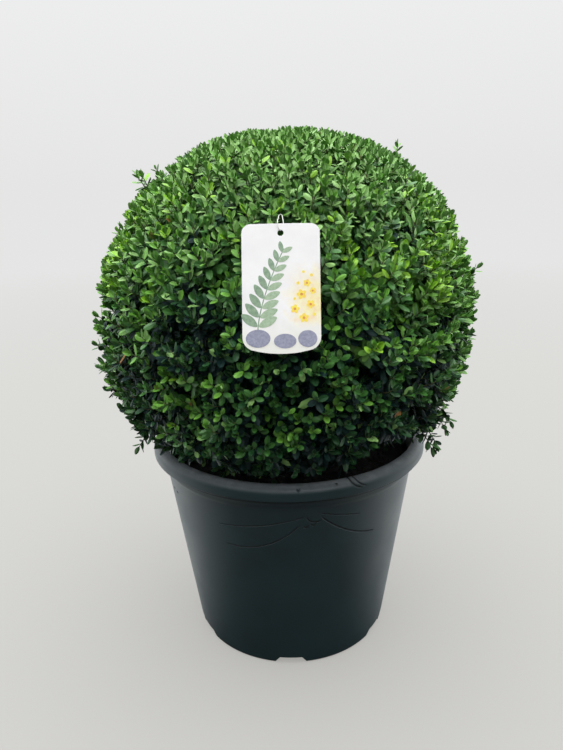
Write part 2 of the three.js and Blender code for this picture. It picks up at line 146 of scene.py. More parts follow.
def calculate(tree, operation, first, second=0.0, clamp=False):
    """The output of one Math node."""
    made = add_node(tree, "ShaderNodeMath", operation=operation, use_clamp=clamp)
    feed(tree, made.inputs[0], first)
    feed(tree, made.inputs[1], second)
    return made.outputs[0]


def blend_colours(tree, share, first, second):
    """The output of a colour mix: the first at 0, the second at 1."""
    made = add_node(tree, "ShaderNodeMix", data_type="RGBA")
    feed(tree, made.inputs[0], share)
    feed(tree, made.inputs[6], first)
    feed(tree, made.inputs[7], second)
    return made.outputs[2]


def spread(tree, value, low, high, to_low=0.0, to_high=1.0):
    """The value's range, stretched to another one and held there."""
    made = add_node(tree, "ShaderNodeMapRange", {
        "Value": value, "From Min": low, "From Max": high, "To Min": to_low, "To Max": to_high,
    })
    return made.outputs["Result"]

# %% [markdown]
# ## A plain studio
#
# A clipped ball looks round because its top is bright and its underside is dim. A dome of light
# does this without hard shadows: it is strongest straight above, it fades towards the sides, and
# near the horizon it is bright behind the plant and weak in front of it. The camera itself sees a
# plain pale ground.

# %% Sky
SKY_LIGHT = (0.95, 0.985, 1.0, 1)
ROOF_STRENGTH = 1.0
ZENITH_EXTRA = 5.2
ZENITH_FROM = 0.6
BACK_STRENGTH = 3.0
FRONT_STRENGTH = 0.05
FRONT_TO_BACK = (-0.5, 0.5)
ROOF_EDGE_IN_FRONT = 0.22
ROOF_EDGE_TURN = (-0.6, 0.3)
ROOF_EDGE_WIDTH = 0.45
SEEN_HIGH = (0.86, 0.87, 0.865, 1)
SEEN_HIGH_FROM = 0.3
HORIZON_SEEN = (0.780, 0.784, 0.780, 1)

world = bpy.data.worlds.new("studio")
world.use_nodes = True
bpy.context.scene.world = world
sky = world.node_tree
sky.nodes.clear()
axes = add_node(sky, "ShaderNodeSeparateXYZ", {
    "Vector": add_node(sky, "ShaderNodeTexCoord").outputs["Generated"],
})
low_light = spread(sky, axes.outputs["Y"], *FRONT_TO_BACK, FRONT_STRENGTH, BACK_STRENGTH)
roof_edge = spread(sky, axes.outputs["Y"], *ROOF_EDGE_TURN, ROOF_EDGE_IN_FRONT, 0.0)
height = spread(sky, axes.outputs["Z"], roof_edge, calculate(sky, "ADD", roof_edge, ROOF_EDGE_WIDTH))
zenith = spread(sky, axes.outputs["Z"], ZENITH_FROM, 1.0, 0.0, ZENITH_EXTRA)
roof = calculate(sky, "ADD", ROOF_STRENGTH, zenith)
strength = calculate(
    sky, "ADD", calculate(sky, "MULTIPLY", low_light, calculate(sky, "SUBTRACT", 1.0, height)),
    calculate(sky, "MULTIPLY", roof, height))
lighting = add_node(sky, "ShaderNodeBackground", {"Color": SKY_LIGHT, "Strength": strength})
seen_height = spread(sky, axes.outputs["Z"], 0.0, SEEN_HIGH_FROM)
seen_colour = blend_colours(sky, seen_height, HORIZON_SEEN, SEEN_HIGH)
seen = add_node(sky, "ShaderNodeBackground", {"Color": seen_colour, "Strength": 1.0})
choice = add_node(sky, "ShaderNodeMixShader", {
    "Fac": add_node(sky, "ShaderNodeLightPath").outputs["Is Camera Ray"],
})
sky.links.new(lighting.outputs[0], choice.inputs[1])
sky.links.new(seen.outputs[0], choice.inputs[2])
add_node(sky, "ShaderNodeOutputWorld", {"Surface": choice.outputs[0]})
bpy.context.scene.view_settings.view_transform = "Standard"
print("sky: roof", ROOF_STRENGTH, "back", BACK_STRENGTH, "front", FRONT_STRENGTH)

# %% Floor
FLOOR_RADIUS = 14
FLOOR_SIDES = 96
FLOOR_SINK = 0.5 * MM

floor_shape = bmesh.new()
bmesh.ops.create_circle(floor_shape, cap_ends=True, radius=FLOOR_RADIUS, segments=FLOOR_SIDES)
floor_mesh = bpy.data.meshes.new("floor")
floor_shape.to_mesh(floor_mesh)
floor_shape.free()
floor_mesh.transform(Matrix.Translation((0, 0, -FLOOR_SINK)))
add_object("floor", floor_mesh)
print("floor:", 2 * FLOOR_RADIUS, "m across")

# %% [markdown]
# ## Effects that several finishes share
#
# Real surfaces are never one even colour. Two effects come back again and again, so each is a
# node group with named inputs, built once. *Clouding* drifts between two colours, as damp, bark
# and uneven plastic do. *Grain* is a fine height for a Bump node. A third group marks what faces
# upwards with a pale dusting and a painted highlight. It thickens fast towards the level, and noise
# breaks it up.

# %% Shader groups
def new_group(name, inputs, outputs):
    """An empty shader group with its sockets, and its two end nodes."""
    group = bpy.data.node_groups.new(name, "ShaderNodeTree")
    for label, kind, value in inputs:
        socket = group.interface.new_socket(label, in_out="INPUT", socket_type=kind)
        if value is not None:
            socket.default_value = value
    for label, kind in outputs:
        group.interface.new_socket(label, in_out="OUTPUT", socket_type=kind)
    start = group.nodes.new("NodeGroupInput")
    end = group.nodes.new("NodeGroupOutput")
    return group, start.outputs, end.inputs


clouding, given, result = new_group(
    "clouding",
    [("Vector", "NodeSocketVector", None), ("Scale", "NodeSocketFloat", 10.0),
     ("Contrast", "NodeSocketFloat", 0.3), ("Dark", "NodeSocketColor", (0.1, 0.1, 0.1, 1)),
     ("Light", "NodeSocketColor", (0.3, 0.3, 0.3, 1))],
    [("Color", "NodeSocketColor"), ("Mask", "NodeSocketFloat")],
)
drift = add_node(clouding, "ShaderNodeTexNoise", {
    "Vector": given["Vector"], "Scale": given["Scale"], "Detail": 6.0, "Roughness": 0.6,
})
half_band = calculate(clouding, "MULTIPLY", given["Contrast"], 0.5)
share = spread(
    clouding, drift.outputs[0],
    calculate(clouding, "SUBTRACT", 0.5, half_band), calculate(clouding, "ADD", 0.5, half_band),
)
feed(clouding, result["Color"], blend_colours(clouding, share, given["Dark"], given["Light"]))
feed(clouding, result["Mask"], share)

PIT_SHARE = 0.4
grain, given, result = new_group(
    "grain",
    [("Vector", "NodeSocketVector", None), ("Scale", "NodeSocketFloat", 400.0)],
    [("Height", "NodeSocketFloat")],
)
speckle = add_node(grain, "ShaderNodeTexNoise", {
    "Vector": given["Vector"], "Scale": given["Scale"], "Detail": 3.0, "Roughness": 0.7,
})
pits = add_node(grain, "ShaderNodeTexVoronoi", {
    "Vector": given["Vector"], "Scale": given["Scale"],
})
feed(grain, result["Height"],
     calculate(grain, "ADD", speckle.outputs[0],
               calculate(grain, "MULTIPLY", pits.outputs["Distance"], PIT_SHARE)))

# The group's mask marks a pale dusting and a painted highlight on what faces up.
DUST_AND_HIGHLIGHT_SLOPES = (0.1, 1.0)
DUST_AND_HIGHLIGHT_GATHERING = 3.0
DUST_AND_HIGHLIGHT_BREAKS = (0.3, 0.65, 0.55)
dust_and_highlight_group, given, result = new_group(
    "settled dust",
    [("Vector", "NodeSocketVector", None), ("Scale", "NodeSocketFloat", 60.0),
     ("Amount", "NodeSocketFloat", 0.4)],
    [("Mask", "NodeSocketFloat")],
)
facing = add_node(dust_and_highlight_group, "ShaderNodeSeparateXYZ", {
    "Vector": add_node(dust_and_highlight_group, "ShaderNodeNewGeometry").outputs["Normal"],
})
patches = add_node(dust_and_highlight_group, "ShaderNodeTexNoise", {
    "Vector": given["Vector"], "Scale": given["Scale"], "Detail": 8.0, "Roughness": 0.65,
})
level = spread(dust_and_highlight_group, facing.outputs["Z"], *DUST_AND_HIGHLIGHT_SLOPES)
upward_share = calculate(dust_and_highlight_group, "POWER", level, DUST_AND_HIGHLIGHT_GATHERING)
broken = spread(dust_and_highlight_group, patches.outputs[0], *DUST_AND_HIGHLIGHT_BREAKS)
feed(dust_and_highlight_group, result["Mask"],
     calculate(dust_and_highlight_group, "MULTIPLY", given["Amount"],
               calculate(dust_and_highlight_group, "MULTIPLY", upward_share, broken)))
print("shader groups:", clouding.name, grain.name, dust_and_highlight_group.name)

# %% Material helpers
def new_material(name, **values):
    """A Principled material with plain values on the shader's own sockets."""
    material = bpy.data.materials.new(name)
    material.use_nodes = True
    tree = material.node_tree
    shader = tree.nodes["Principled BSDF"]
    for label, value in values.items():
        shader.inputs[label.replace("_", " ")].default_value = value
    return material, tree, shader.inputs


def place_group(tree, group, **inputs):
    """One use of a shader group, with its inputs fed by name."""
    made = add_node(tree, "ShaderNodeGroup", node_tree=group)
    for label, value in inputs.items():
        feed(tree, made.inputs[label], value)
    return made.outputs


def object_place(tree):
    """Where a point lies on its own piece, in metres."""
    return add_node(tree, "ShaderNodeTexCoord").outputs["Object"]


def bump(tree, height, strength, distance, **normal):
    """A normal that follows a height, with the distance in metres, on top of another normal."""
    return add_node(tree, "ShaderNodeBump", {
        "Height": height, "Strength": strength, "Distance": distance, **normal,
    }).outputs[0]


def grainy(tree, vector, scale, strength, distance):
    """A normal with fine grain on it."""
    return bump(tree, place_group(tree, grain, Vector=vector, Scale=scale)["Height"], strength, distance)


def cloud_over(tree, sockets, vector, tones, scale, contrast):
    """Feeds the base colour with a dark and a light tone that drift. Gives the drift as a mask."""
    cloudy = place_group(tree, clouding, Vector=vector, Scale=scale, Contrast=contrast,
                         Dark=tones[0], Light=tones[1])
    feed(tree, sockets["Base Color"], cloudy["Color"])
    return cloudy["Mask"]

# %% [markdown]
# The floor is plain and pale to the eye, but a pale floor would light the leaves from below and
# flatten the ball. So its material asks what kind of ray has come. The camera sees it pale, half
# by the light that falls on it and half by a glow of its own, which keeps the shadow soft. Far
# away it is all glow, in the colour of the horizon, so no line shows where the floor ends. Light
# that bounces off it is dim. The sheen of the pot sees it bright behind and beside the plant,
# and dark in front, which draws a pale edge down either side of the dark plastic.

# %% Floor finish
FLOOR_LIT_NEAR = (0.131, 0.1275, 0.1225, 1)
FLOOR_GLOW_NEAR = (0.352, 0.346, 0.328, 1)
FLOOR_FADE = (0.4, 4.0)
FLOOR_BOUNCE = (0.05, 0.05, 0.05, 1)
FLOOR_SHEEN = (0.5, 0.5, 0.5, 1)
SHEEN_TURN = (-0.7, 0.1)
SHEEN_IN_FRONT = 0.12
BLACK = (0, 0, 0, 1)

floor_material, tree, sockets = new_material(
    "pale floor", Roughness=0.9, Specular_IOR_Level=0.0, Emission_Strength=1.0)
ray = add_node(tree, "ShaderNodeLightPath").outputs
flat_place = add_node(tree, "ShaderNodeVectorMath", {0: object_place(tree)}, operation="NORMALIZE")
backward = add_node(tree, "ShaderNodeSeparateXYZ", {"Vector": flat_place.outputs[0]}).outputs["Y"]
behind = spread(tree, backward, *SHEEN_TURN, SHEEN_IN_FRONT)
sheen = calculate(tree, "MULTIPLY", ray["Is Glossy Ray"], behind)
dim = blend_colours(tree, sheen, FLOOR_BOUNCE, FLOOR_SHEEN)
distance = add_node(tree, "ShaderNodeVectorMath", {0: object_place(tree)}, operation="LENGTH")
far_off = spread(tree, distance.outputs["Value"], *FLOOR_FADE)
lit = blend_colours(tree, far_off, FLOOR_LIT_NEAR, BLACK)
glow = blend_colours(tree, far_off, FLOOR_GLOW_NEAR, HORIZON_SEEN)
feed(tree, sockets["Base Color"], blend_colours(tree, ray["Is Camera Ray"], dim, lit))
feed(tree, sockets["Emission Color"], blend_colours(tree, ray["Is Camera Ray"], BLACK, glow))
floor_mesh.materials.append(floor_material)
print("material:", floor_material.name)

# %% [markdown]
# ## From arrays to a finished piece
#
# Every piece ends the same way: a mesh whose place is in its points, an object at the origin and a
# material. It rides on the plant's one body, and the solids that it stands for are hidden.

# %% Piece helpers
def mesh_from(name, points, faces, smooth=True):
    """A mesh from lists or arrays of points and faces."""
    mesh = bpy.data.meshes.new(name)
    mesh.from_pydata(np.asarray(points).tolist(), [], [list(face) for face in faces])
    if smooth:
        mesh.shade_smooth()
    else:
        mesh.shade_flat()
    return mesh


def finish_piece(name, mesh, material, slot, *solids):
    """Puts the mesh in the scene as a piece of the plant."""
    mesh.name = name
    mesh.materials.clear()
    mesh.materials.append(material)
    piece = add_object(name, mesh)
    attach(piece, "root")
    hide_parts(*solids)
    mesh.calc_loop_triangles()
    print(f"{name}: {len(mesh.loop_triangles)} triangles")


def evaluated_mesh(holder):
    """What the object's modifiers make, as a plain mesh. The holder is removed."""
    graph = bpy.context.evaluated_depsgraph_get()
    mesh = bpy.data.meshes.new_from_object(holder.evaluated_get(graph))
    bpy.data.objects.remove(holder)
    return mesh

# %% [markdown]
# ## The pot
#
# A nursery pot is blown or injected in one wall of dark plastic. It tapers to its foot. Near the
# top the wall flares out under a round rim that the hands grip. The rim's band ends in a low step
# over a fine groove that all but closes further round. At the front the groove and painted shade
# in the plastic's colour draw a dark line.
# One profile turned about the axis makes all of it. Many narrow sides keep the outline round even
# close up, and the rim gets the most points.

# %% Pot profile
POT_HEIGHT = 260 * MM
POT_FOOT_RADIUS = 124 * MM
POT_SHOULDER_RADIUS = 157 * MM
POT_SHOULDER_HEIGHT = 230 * MM
POT_RIM_RADIUS = 171.2 * MM
POT_LIP_RADIUS = 157 * MM
POT_WALL = 3 * MM
RIM_ROUND = 9.5 * MM
RIM_BAND_FOOT = 244.4 * MM
RIM_STEP = 1.4 * MM
BAND_EDGE = ((0.5, 0.2), (0.1, 0.6), (0.0, 1.2))
RIM_GROOVE = 2.4 * MM
GROOVE_TALL = 2.2 * MM
GROOVE_SHALLOW = 0.3
GROOVE_MIDDLE = radians(-5)
GROOVE_FADE = (radians(28), radians(52))
FLARE_FOOT = 226 * MM
FLARE_BEND = 231.5 * MM
LIP_BEVEL = 0.4 * MM
FOOT_ROUND = 4 * MM
FOOT_BEVEL = 0.6 * MM
FOOT_RING_WIDTH = 12 * MM
FOOT_RING_HEIGHT = 10 * MM
POT_SIDES = 192
POT_SHARP_ANGLE = 38
TAPER = (POT_SHOULDER_RADIUS - POT_FOOT_RADIUS) / POT_SHOULDER_HEIGHT


def arc(radius_at, height_at, size, start, end, steps):
    """Points on a round, as radius and height. The angles are in degrees."""
    angles = np.radians(np.linspace(start, end, steps + 1))
    return [(radius_at + size * cos(a), height_at + size * sin(a)) for a in angles]


def wall_radius(height):
    """The radius of the tapered wall's outer face at a height."""
    return POT_FOOT_RADIUS + TAPER * height


def rim_curve(inset):
    """The flare, a fine groove, the band's step and its round top, or the like of the inner face."""
    flare_top = POT_RIM_RADIUS - RIM_STEP
    points = []
    for t in np.linspace(0, 1, 13):
        near, middle, far = (1 - t) ** 2, 2 * t * (1 - t), t ** 2
        radius = near * wall_radius(FLARE_FOOT) + middle * wall_radius(FLARE_BEND) + far * flare_top
        height = near * FLARE_FOOT + middle * FLARE_BEND + far * RIM_BAND_FOOT
        points.append((radius - inset, height))
    if inset == 0:
        points[-1] = (flare_top - RIM_GROOVE, RIM_BAND_FOOT - GROOVE_TALL)
        points.append((flare_top - RIM_GROOVE, RIM_BAND_FOOT))
    band_top = POT_HEIGHT - RIM_ROUND
    points += [(POT_RIM_RADIUS - inward * MM - inset, RIM_BAND_FOOT + rise * MM)
               for inward, rise in BAND_EDGE]
    return points + arc(POT_RIM_RADIUS - RIM_ROUND, band_top, RIM_ROUND - inset, 0, 90, 14)


foot_inner = POT_FOOT_RADIUS - FOOT_RING_WIDTH
floor_top = FOOT_RING_HEIGHT + POT_WALL
pot_profile = [
    (0, FOOT_RING_HEIGHT),
    (foot_inner - MM, FOOT_RING_HEIGHT),
    (foot_inner, FOOT_BEVEL),
    (foot_inner + FOOT_BEVEL, 0),
    *arc(POT_FOOT_RADIUS - FOOT_ROUND, FOOT_ROUND, FOOT_ROUND, -90, 0, 6),
    (wall_radius(3 * FOOT_ROUND), 3 * FOOT_ROUND),
    *rim_curve(0),
    (POT_LIP_RADIUS + POT_WALL / 2, POT_HEIGHT),
    (POT_LIP_RADIUS + LIP_BEVEL, POT_HEIGHT - LIP_BEVEL),
    (POT_LIP_RADIUS, POT_HEIGHT - POT_WALL / 2),
    (POT_LIP_RADIUS, POT_HEIGHT - POT_WALL),
    *rim_curve(POT_WALL)[::-1],
    (wall_radius(floor_top) - POT_WALL, floor_top),
    (0, floor_top),
]
print("pot profile:", len(pot_profile), "points, rim", 2 * POT_RIM_RADIUS, "m across")

# %% Turn the profile, and fill most of its groove at the sides
def turned(name, profile, sides):
    """A closed mesh: the profile turned about the Z axis. Points on the axis are shared."""
    points, rings = [], []
    for radius, height in profile:
        if radius == 0:
            rings.append([len(points)] * sides)
            points.append((0, 0, height))
            continue
        rings.append(list(range(len(points), len(points) + sides)))
        for i in range(sides):
            angle = 2 * pi * i / sides
            points.append((radius * cos(angle), radius * sin(angle), height))
    faces = []
    for low, high in zip(rings, rings[1:]):
        for i in range(sides):
            j = (i + 1) % sides
            corners = (low[i], low[j], high[j], high[i])
            faces.append(tuple(dict.fromkeys(corners)))
    return mesh_from(name, points, faces)


def ramp(values, start, width):
    """0 up to the start, 1 past the width, and a straight rise between them."""
    return np.clip((values - start) / width, 0, 1)


pot_mesh = turned("pot", pot_profile, POT_SIDES)
groove_radius = POT_RIM_RADIUS - RIM_STEP - RIM_GROOVE
for vertex in pot_mesh.vertices:
    if abs(vertex.co.xy.length - groove_radius) < 0.01 * MM:
        aside = abs(np.arctan2(vertex.co.x, -vertex.co.y) - GROOVE_MIDDLE)
        filled = (1 - GROOVE_SHALLOW) * ramp(aside, GROOVE_FADE[0], np.ptp(GROOVE_FADE))
        vertex.co.xy *= 1 + RIM_GROOVE * filled / groove_radius
print("pot shell:", len(pot_mesh.polygons), "faces")

# %% [markdown]
# The foot has six notches that let water out, and a drain hole behind each. The same cut comes
# back six times at equal turns, which is a task for Geometry Nodes: one notch and one hole are
# instanced round the axis, and a Boolean takes them all out at once.

# %% Cutters for the foot
CUT_COUNT = 6
NOTCH_WIDTH = 42 * MM
NOTCH_TOP_WIDTH = 27 * MM
NOTCH_HEIGHT = 9.4 * MM
NOTCH_DEPTH = 2.2 * FOOT_RING_WIDTH
NOTCH_REACH = 3 * FOOT_RING_WIDTH
HOLE_RADIUS = 8 * MM
HOLE_RING = 92 * MM
HOLE_SIDES = 32


def prism(outline, depth_vector):
    """Points and faces of an outline pushed along a vector."""
    count = len(outline)
    far = [tuple(Vector(p) + depth_vector) for p in outline]
    sides = [(i, (i + 1) % count, (i + 1) % count + count, i + count) for i in range(count)]
    return list(outline) + far, [tuple(range(count))[::-1], tuple(range(count, 2 * count)), *sides]


notch_back = -(POT_FOOT_RADIUS - NOTCH_DEPTH)
notch_outline = [
    (-NOTCH_WIDTH / 2, notch_back, -MM), (-NOTCH_TOP_WIDTH / 2, notch_back, NOTCH_HEIGHT),
    (NOTCH_TOP_WIDTH / 2, notch_back, NOTCH_HEIGHT), (NOTCH_WIDTH / 2, notch_back, -MM),
]
hole_outline = [
    (HOLE_RADIUS * sin(a), HOLE_RADIUS * cos(a) - HOLE_RING, FOOT_RING_HEIGHT - POT_WALL)
    for a in np.linspace(0, 2 * pi, HOLE_SIDES, endpoint=False)
]
notch_points, notch_faces = prism(notch_outline, Vector((0, -NOTCH_REACH, 0)))
hole_points, hole_faces = prism(hole_outline, Vector((0, 0, 3 * POT_WALL)))
shifted = [tuple(i + len(notch_points) for i in face) for face in hole_faces]
cutter_mesh = mesh_from("cutter", notch_points + hole_points, notch_faces + shifted, smooth=False)
cutter_bm = bmesh.new()
cutter_bm.from_mesh(cutter_mesh)
bmesh.ops.recalc_face_normals(cutter_bm, faces=cutter_bm.faces)
cutter_bm.to_mesh(cutter_mesh)
cutter_bm.free()
cutter = bpy.data.objects.new("cutter", cutter_mesh)
print("cutter:", len(cutter_mesh.polygons), "faces for one notch and one hole")

# %% Cut them with Geometry Nodes
def new_geometry_tree(name, inputs):
    """A Geometry Nodes tree with one geometry in and out, and named inputs besides."""
    tree = bpy.data.node_groups.new(name, "GeometryNodeTree")
    interface = tree.interface
    interface.new_socket("Geometry", in_out="INPUT", socket_type="NodeSocketGeometry")
    for label, kind in inputs:
        interface.new_socket(label, in_out="INPUT", socket_type=kind)
    interface.new_socket("Geometry", in_out="OUTPUT", socket_type="NodeSocketGeometry")
    return tree, tree.nodes.new("NodeGroupInput").outputs, tree.nodes.new("NodeGroupOutput").inputs


def run_tree(mesh, tree, **values):
    """Runs a tree on a mesh. A modifier's inputs are set by their identifiers."""
    holder = add_object(mesh.name, mesh)
    modifier = holder.modifiers.new(tree.name, "NODES")
    modifier.node_group = tree
    for item in tree.interface.items_tree:
        key = item.name.replace(" ", "_")
        if item.in_out == "INPUT" and key in values:
            modifier[item.identifier] = values[key]
    return evaluated_mesh(holder)


def geometry_of(tree, shape):
    """The geometry of an object that the tree was given."""
    return add_node(tree, "GeometryNodeObjectInfo", {"Object": shape}).outputs["Geometry"]


def end_tree(tree, result, geometry, finish):
    """Ends a tree as the export needs it: the instances made real, and the material set."""
    realized = add_node(tree, "GeometryNodeRealizeInstances", {"Geometry": geometry})
    painted = add_node(tree, "GeometryNodeSetMaterial", {
        "Geometry": realized.outputs[0], "Material": finish})
    feed(tree, result["Geometry"], painted.outputs[0])
    print("tree:", tree.name)


ring_cuts, given, result = new_geometry_tree("ring cuts", [
    ("Cutter", "NodeSocketObject"), ("Count", "NodeSocketInt"), ("Finish", "NodeSocketMaterial"),
])
spots = add_node(ring_cuts, "GeometryNodePoints", {"Count": given["Count"]})
step = calculate(ring_cuts, "DIVIDE", 2 * pi, given["Count"])
order = add_node(ring_cuts, "GeometryNodeInputIndex").outputs[0]
turn_of_spot = calculate(ring_cuts, "MULTIPLY", order, step)
cuts = add_node(ring_cuts, "GeometryNodeInstanceOnPoints", {
    "Points": spots.outputs[0],
    "Instance": geometry_of(ring_cuts, given["Cutter"]),
    "Rotation": add_node(ring_cuts, "ShaderNodeCombineXYZ", {"Z": turn_of_spot}).outputs[0],
})
taken_out = add_node(ring_cuts, "GeometryNodeMeshBoolean", operation="DIFFERENCE", solver="EXACT")
feed(ring_cuts, taken_out.inputs["Mesh 1"], given["Geometry"])
feed(ring_cuts, taken_out.inputs["Mesh 2"],
     add_node(ring_cuts, "GeometryNodeRealizeInstances", {
         "Geometry": cuts.outputs[0]}).outputs[0])
end_tree(ring_cuts, result, taken_out.outputs[0], given["Finish"])

# %% [markdown]
# The plastic is a dark blue grey. It is smooth but not polished, a little cloudy, with a pale dusting
# and a painted highlight on what faces up, and painted shade under the foot of the rim's band at the
# front. Handling has marked it: a few thin dark arcs show under the rim at the front, and small nicks
# on and under the rim. Each mark is part of a circle on the unrolled pot, so one group draws them all,
# and each fades out at both ends.

# %% Scuff group
SCUFF_FADE = 4 * MM

scuff, given, result = new_group(
    "scuff",
    [("Across", "NodeSocketFloat", 0.0), ("Up", "NodeSocketFloat", 0.0),
     ("Middle", "NodeSocketFloat", 0.0), ("Lowest", "NodeSocketFloat", 0.2),
     ("Radius", "NodeSocketFloat", 0.05), ("Width", "NodeSocketFloat", 0.001),
     ("Start", "NodeSocketFloat", -0.02), ("End", "NodeSocketFloat", 0.02)],
    [("Mask", "NodeSocketFloat")],
)
aside = calculate(scuff, "SUBTRACT", given["Across"], given["Middle"])
centre_up = calculate(scuff, "ADD", given["Lowest"], given["Radius"])
below = calculate(scuff, "SUBTRACT", centre_up, given["Up"])
reach = calculate(scuff, "SQRT", calculate(
    scuff, "ADD", calculate(scuff, "MULTIPLY", aside, aside),
    calculate(scuff, "MULTIPLY", below, below)))
off_line = calculate(scuff, "ABSOLUTE", calculate(scuff, "SUBTRACT", reach, given["Radius"]))
on_line = calculate(scuff, "SUBTRACT", 1.0, calculate(scuff, "DIVIDE", off_line, given["Width"]),
                    clamp=True)
lower_half = calculate(scuff, "GREATER_THAN", below, 0.0)
from_start = calculate(scuff, "DIVIDE", calculate(
    scuff, "SUBTRACT", given["Across"], given["Start"]), SCUFF_FADE, clamp=True)
to_end = calculate(scuff, "DIVIDE", calculate(
    scuff, "SUBTRACT", given["End"], given["Across"]), SCUFF_FADE, clamp=True)
along = calculate(scuff, "MULTIPLY", from_start, to_end)
feed(scuff, result["Mask"], calculate(
    scuff, "MULTIPLY", calculate(scuff, "MULTIPLY", on_line, lower_half), along))
print("group:", scuff.name)

# %% Pot plastic
PLASTIC_DARK = (0.002, 0.014, 0.016, 1)
PLASTIC_LIGHT = (0.006, 0.025, 0.029, 1)
# The colour of a pale dusting and a painted highlight on what faces up.
PLASTIC_DUST_AND_HIGHLIGHT = (0.315, 0.333, 0.35, 1)
PLASTIC_ROUGHNESS = (0.38, 0.5)
DUST_AND_HIGHLIGHT_AMOUNT = 0.7
DUST_ROUGHNESS = 0.3
# Each mark: its middle, lowest point, radius, width, start and end, in millimetres.
SCUFFS = (
    (-120, 197, 465, 1.0, -84, 20),
    (-64, 172.8, 104, 1.2, -78, 14),
    (31, 210, 11, 1.6, 19, 38),
    (136, 176, 142, 1.5, 36, 112),
    (148, 205, 400, 1.1, 35, 86),
    (78, 252, 14, 1.7, 60, 77),
    (84, 252.5, 14, 1.5, 66, 82),
    (-176, 211, 0.5, 3.2, -184, -168),
    (-165, 210, 0.5, 3.2, -173, -157),
    (11, 257, 1.5, 1.6, 7, 15),
    (50, 259, 0.5, 1.6, 45, 55),
    (20, 204, 3, 2.2, 15, 25),
    (28, 206, 3, 1.8, 24, 33),
)
# The colour of the scuffs, and of the painted shade under the rim's band.
SCUFF_AND_SHADE_COLOUR = (0.002, 0.0025, 0.003, 1)
SCUFF_AND_SHADE_SHARE = 0.95
SCUFF_ROUGHNESS = 0.6
FLARE_ROUGHNESS = 0.2
FLARE_FADE = (FLARE_FOOT + 1 * MM, FLARE_FOOT + 6 * MM)
UNDERCUT_SHADE_TALL = 2.5 * MM
UNDERCUT_SHADE_FADE = 3 * MM

pot_material, tree, sockets = new_material("dark pot plastic", Roughness=0.42)
place = object_place(tree)
cloudy = place_group(tree, clouding, Vector=place, Scale=14.0, Contrast=0.5,
                     Dark=PLASTIC_DARK, Light=PLASTIC_LIGHT)
# A pale dusting and a painted highlight lighten what faces up.
dust_and_highlight = place_group(tree, dust_and_highlight_group, Vector=place, Scale=70.0, Amount=DUST_AND_HIGHLIGHT_AMOUNT)["Mask"]
axes = add_node(tree, "ShaderNodeSeparateXYZ", {"Vector": place})
around = calculate(tree, "ARCTAN2", axes.outputs["X"],
                   calculate(tree, "MULTIPLY", axes.outputs["Y"], -1.0))
across = calculate(tree, "MULTIPLY", around, POT_SHOULDER_RADIUS)
scuffed = 0.0
for middle, lowest, radius, width, start, end in SCUFFS:
    mark = place_group(tree, scuff, Across=across, Up=axes.outputs["Z"], Middle=middle * MM,
                       Lowest=lowest * MM, Radius=radius * MM, Width=width * MM,
                       Start=start * MM, End=end * MM)["Mask"]
    scuffed = calculate(tree, "MAXIMUM", scuffed, mark)
dusted_and_lit = blend_colours(tree, dust_and_highlight, cloudy["Color"], PLASTIC_DUST_AND_HIGHLIGHT)
# Painted shade under the foot of the rim's band: darkest at the front, gone at the sides. It darkens the
# colour together with the scuffs.
under_band = calculate(tree, "LESS_THAN", axes.outputs["Z"], RIM_BAND_FOOT)
flare = calculate(tree, "MULTIPLY", under_band, spread(tree, axes.outputs["Z"], *FLARE_FADE))
undercut_shade_foot = RIM_BAND_FOOT - UNDERCUT_SHADE_TALL
undercut_shade = calculate(tree, "MULTIPLY", under_band, spread(
    tree, axes.outputs["Z"], undercut_shade_foot - UNDERCUT_SHADE_FADE, undercut_shade_foot))
off_front = calculate(tree, "ABSOLUTE", calculate(tree, "SUBTRACT", around, GROOVE_MIDDLE))
undercut_shade = calculate(tree, "MULTIPLY", undercut_shade, spread(tree, off_front, *GROOVE_FADE, 1.0, 0.0))
scuffs_and_shade = calculate(tree, "MAXIMUM", scuffed, undercut_shade)
feed(tree, sockets["Base Color"], blend_colours(
    tree, calculate(tree, "MULTIPLY", scuffs_and_shade, SCUFF_AND_SHADE_SHARE), dusted_and_lit, SCUFF_AND_SHADE_COLOUR))
worn = calculate(tree, "MAXIMUM", calculate(tree, "MULTIPLY", scuffed, SCUFF_ROUGHNESS),
                 calculate(tree, "MULTIPLY", flare, FLARE_ROUGHNESS))
smooth = calculate(tree, "ADD", spread(tree, cloudy["Mask"], 0, 1, *PLASTIC_ROUGHNESS),
                   calculate(tree, "MULTIPLY", dust_and_highlight, DUST_ROUGHNESS))
feed(tree, sockets["Roughness"], calculate(tree, "ADD", smooth, worn, clamp=True))
feed(tree, sockets["Normal"], bump(
    tree, calculate(tree, "SUBTRACT", 1.0, scuffs_and_shade), strength=0.9, distance=1.2 * MM,
    Normal=grainy(tree, place, scale=900.0, strength=0.12, distance=0.2 * MM)))

pot_cut = run_tree(pot_mesh, ring_cuts, Cutter=cutter, Count=CUT_COUNT, Finish=pot_material)
bpy.data.objects.remove(cutter)
pot_cut.shade_smooth()
pot_cut.set_sharp_from_angle(angle=radians(POT_SHARP_ANGLE))
finish_piece("pot_shell", pot_cut, pot_material, "pot_plastic", "pot")

# %% [markdown]
# ## The soil
#
# Under the ball the pot is filled with dark peat and bark. Only a crescent of it shows, between
# the leaves and the rim, but it is what the stem stands in. A turned solid makes the bed. Its top
# sinks a little towards the wall, and noise roughens it. Crumbs are strewn over it by Geometry
# Nodes, which pick random spots on the faces, and one rough crumb shape in many sizes and turns
# is enough.

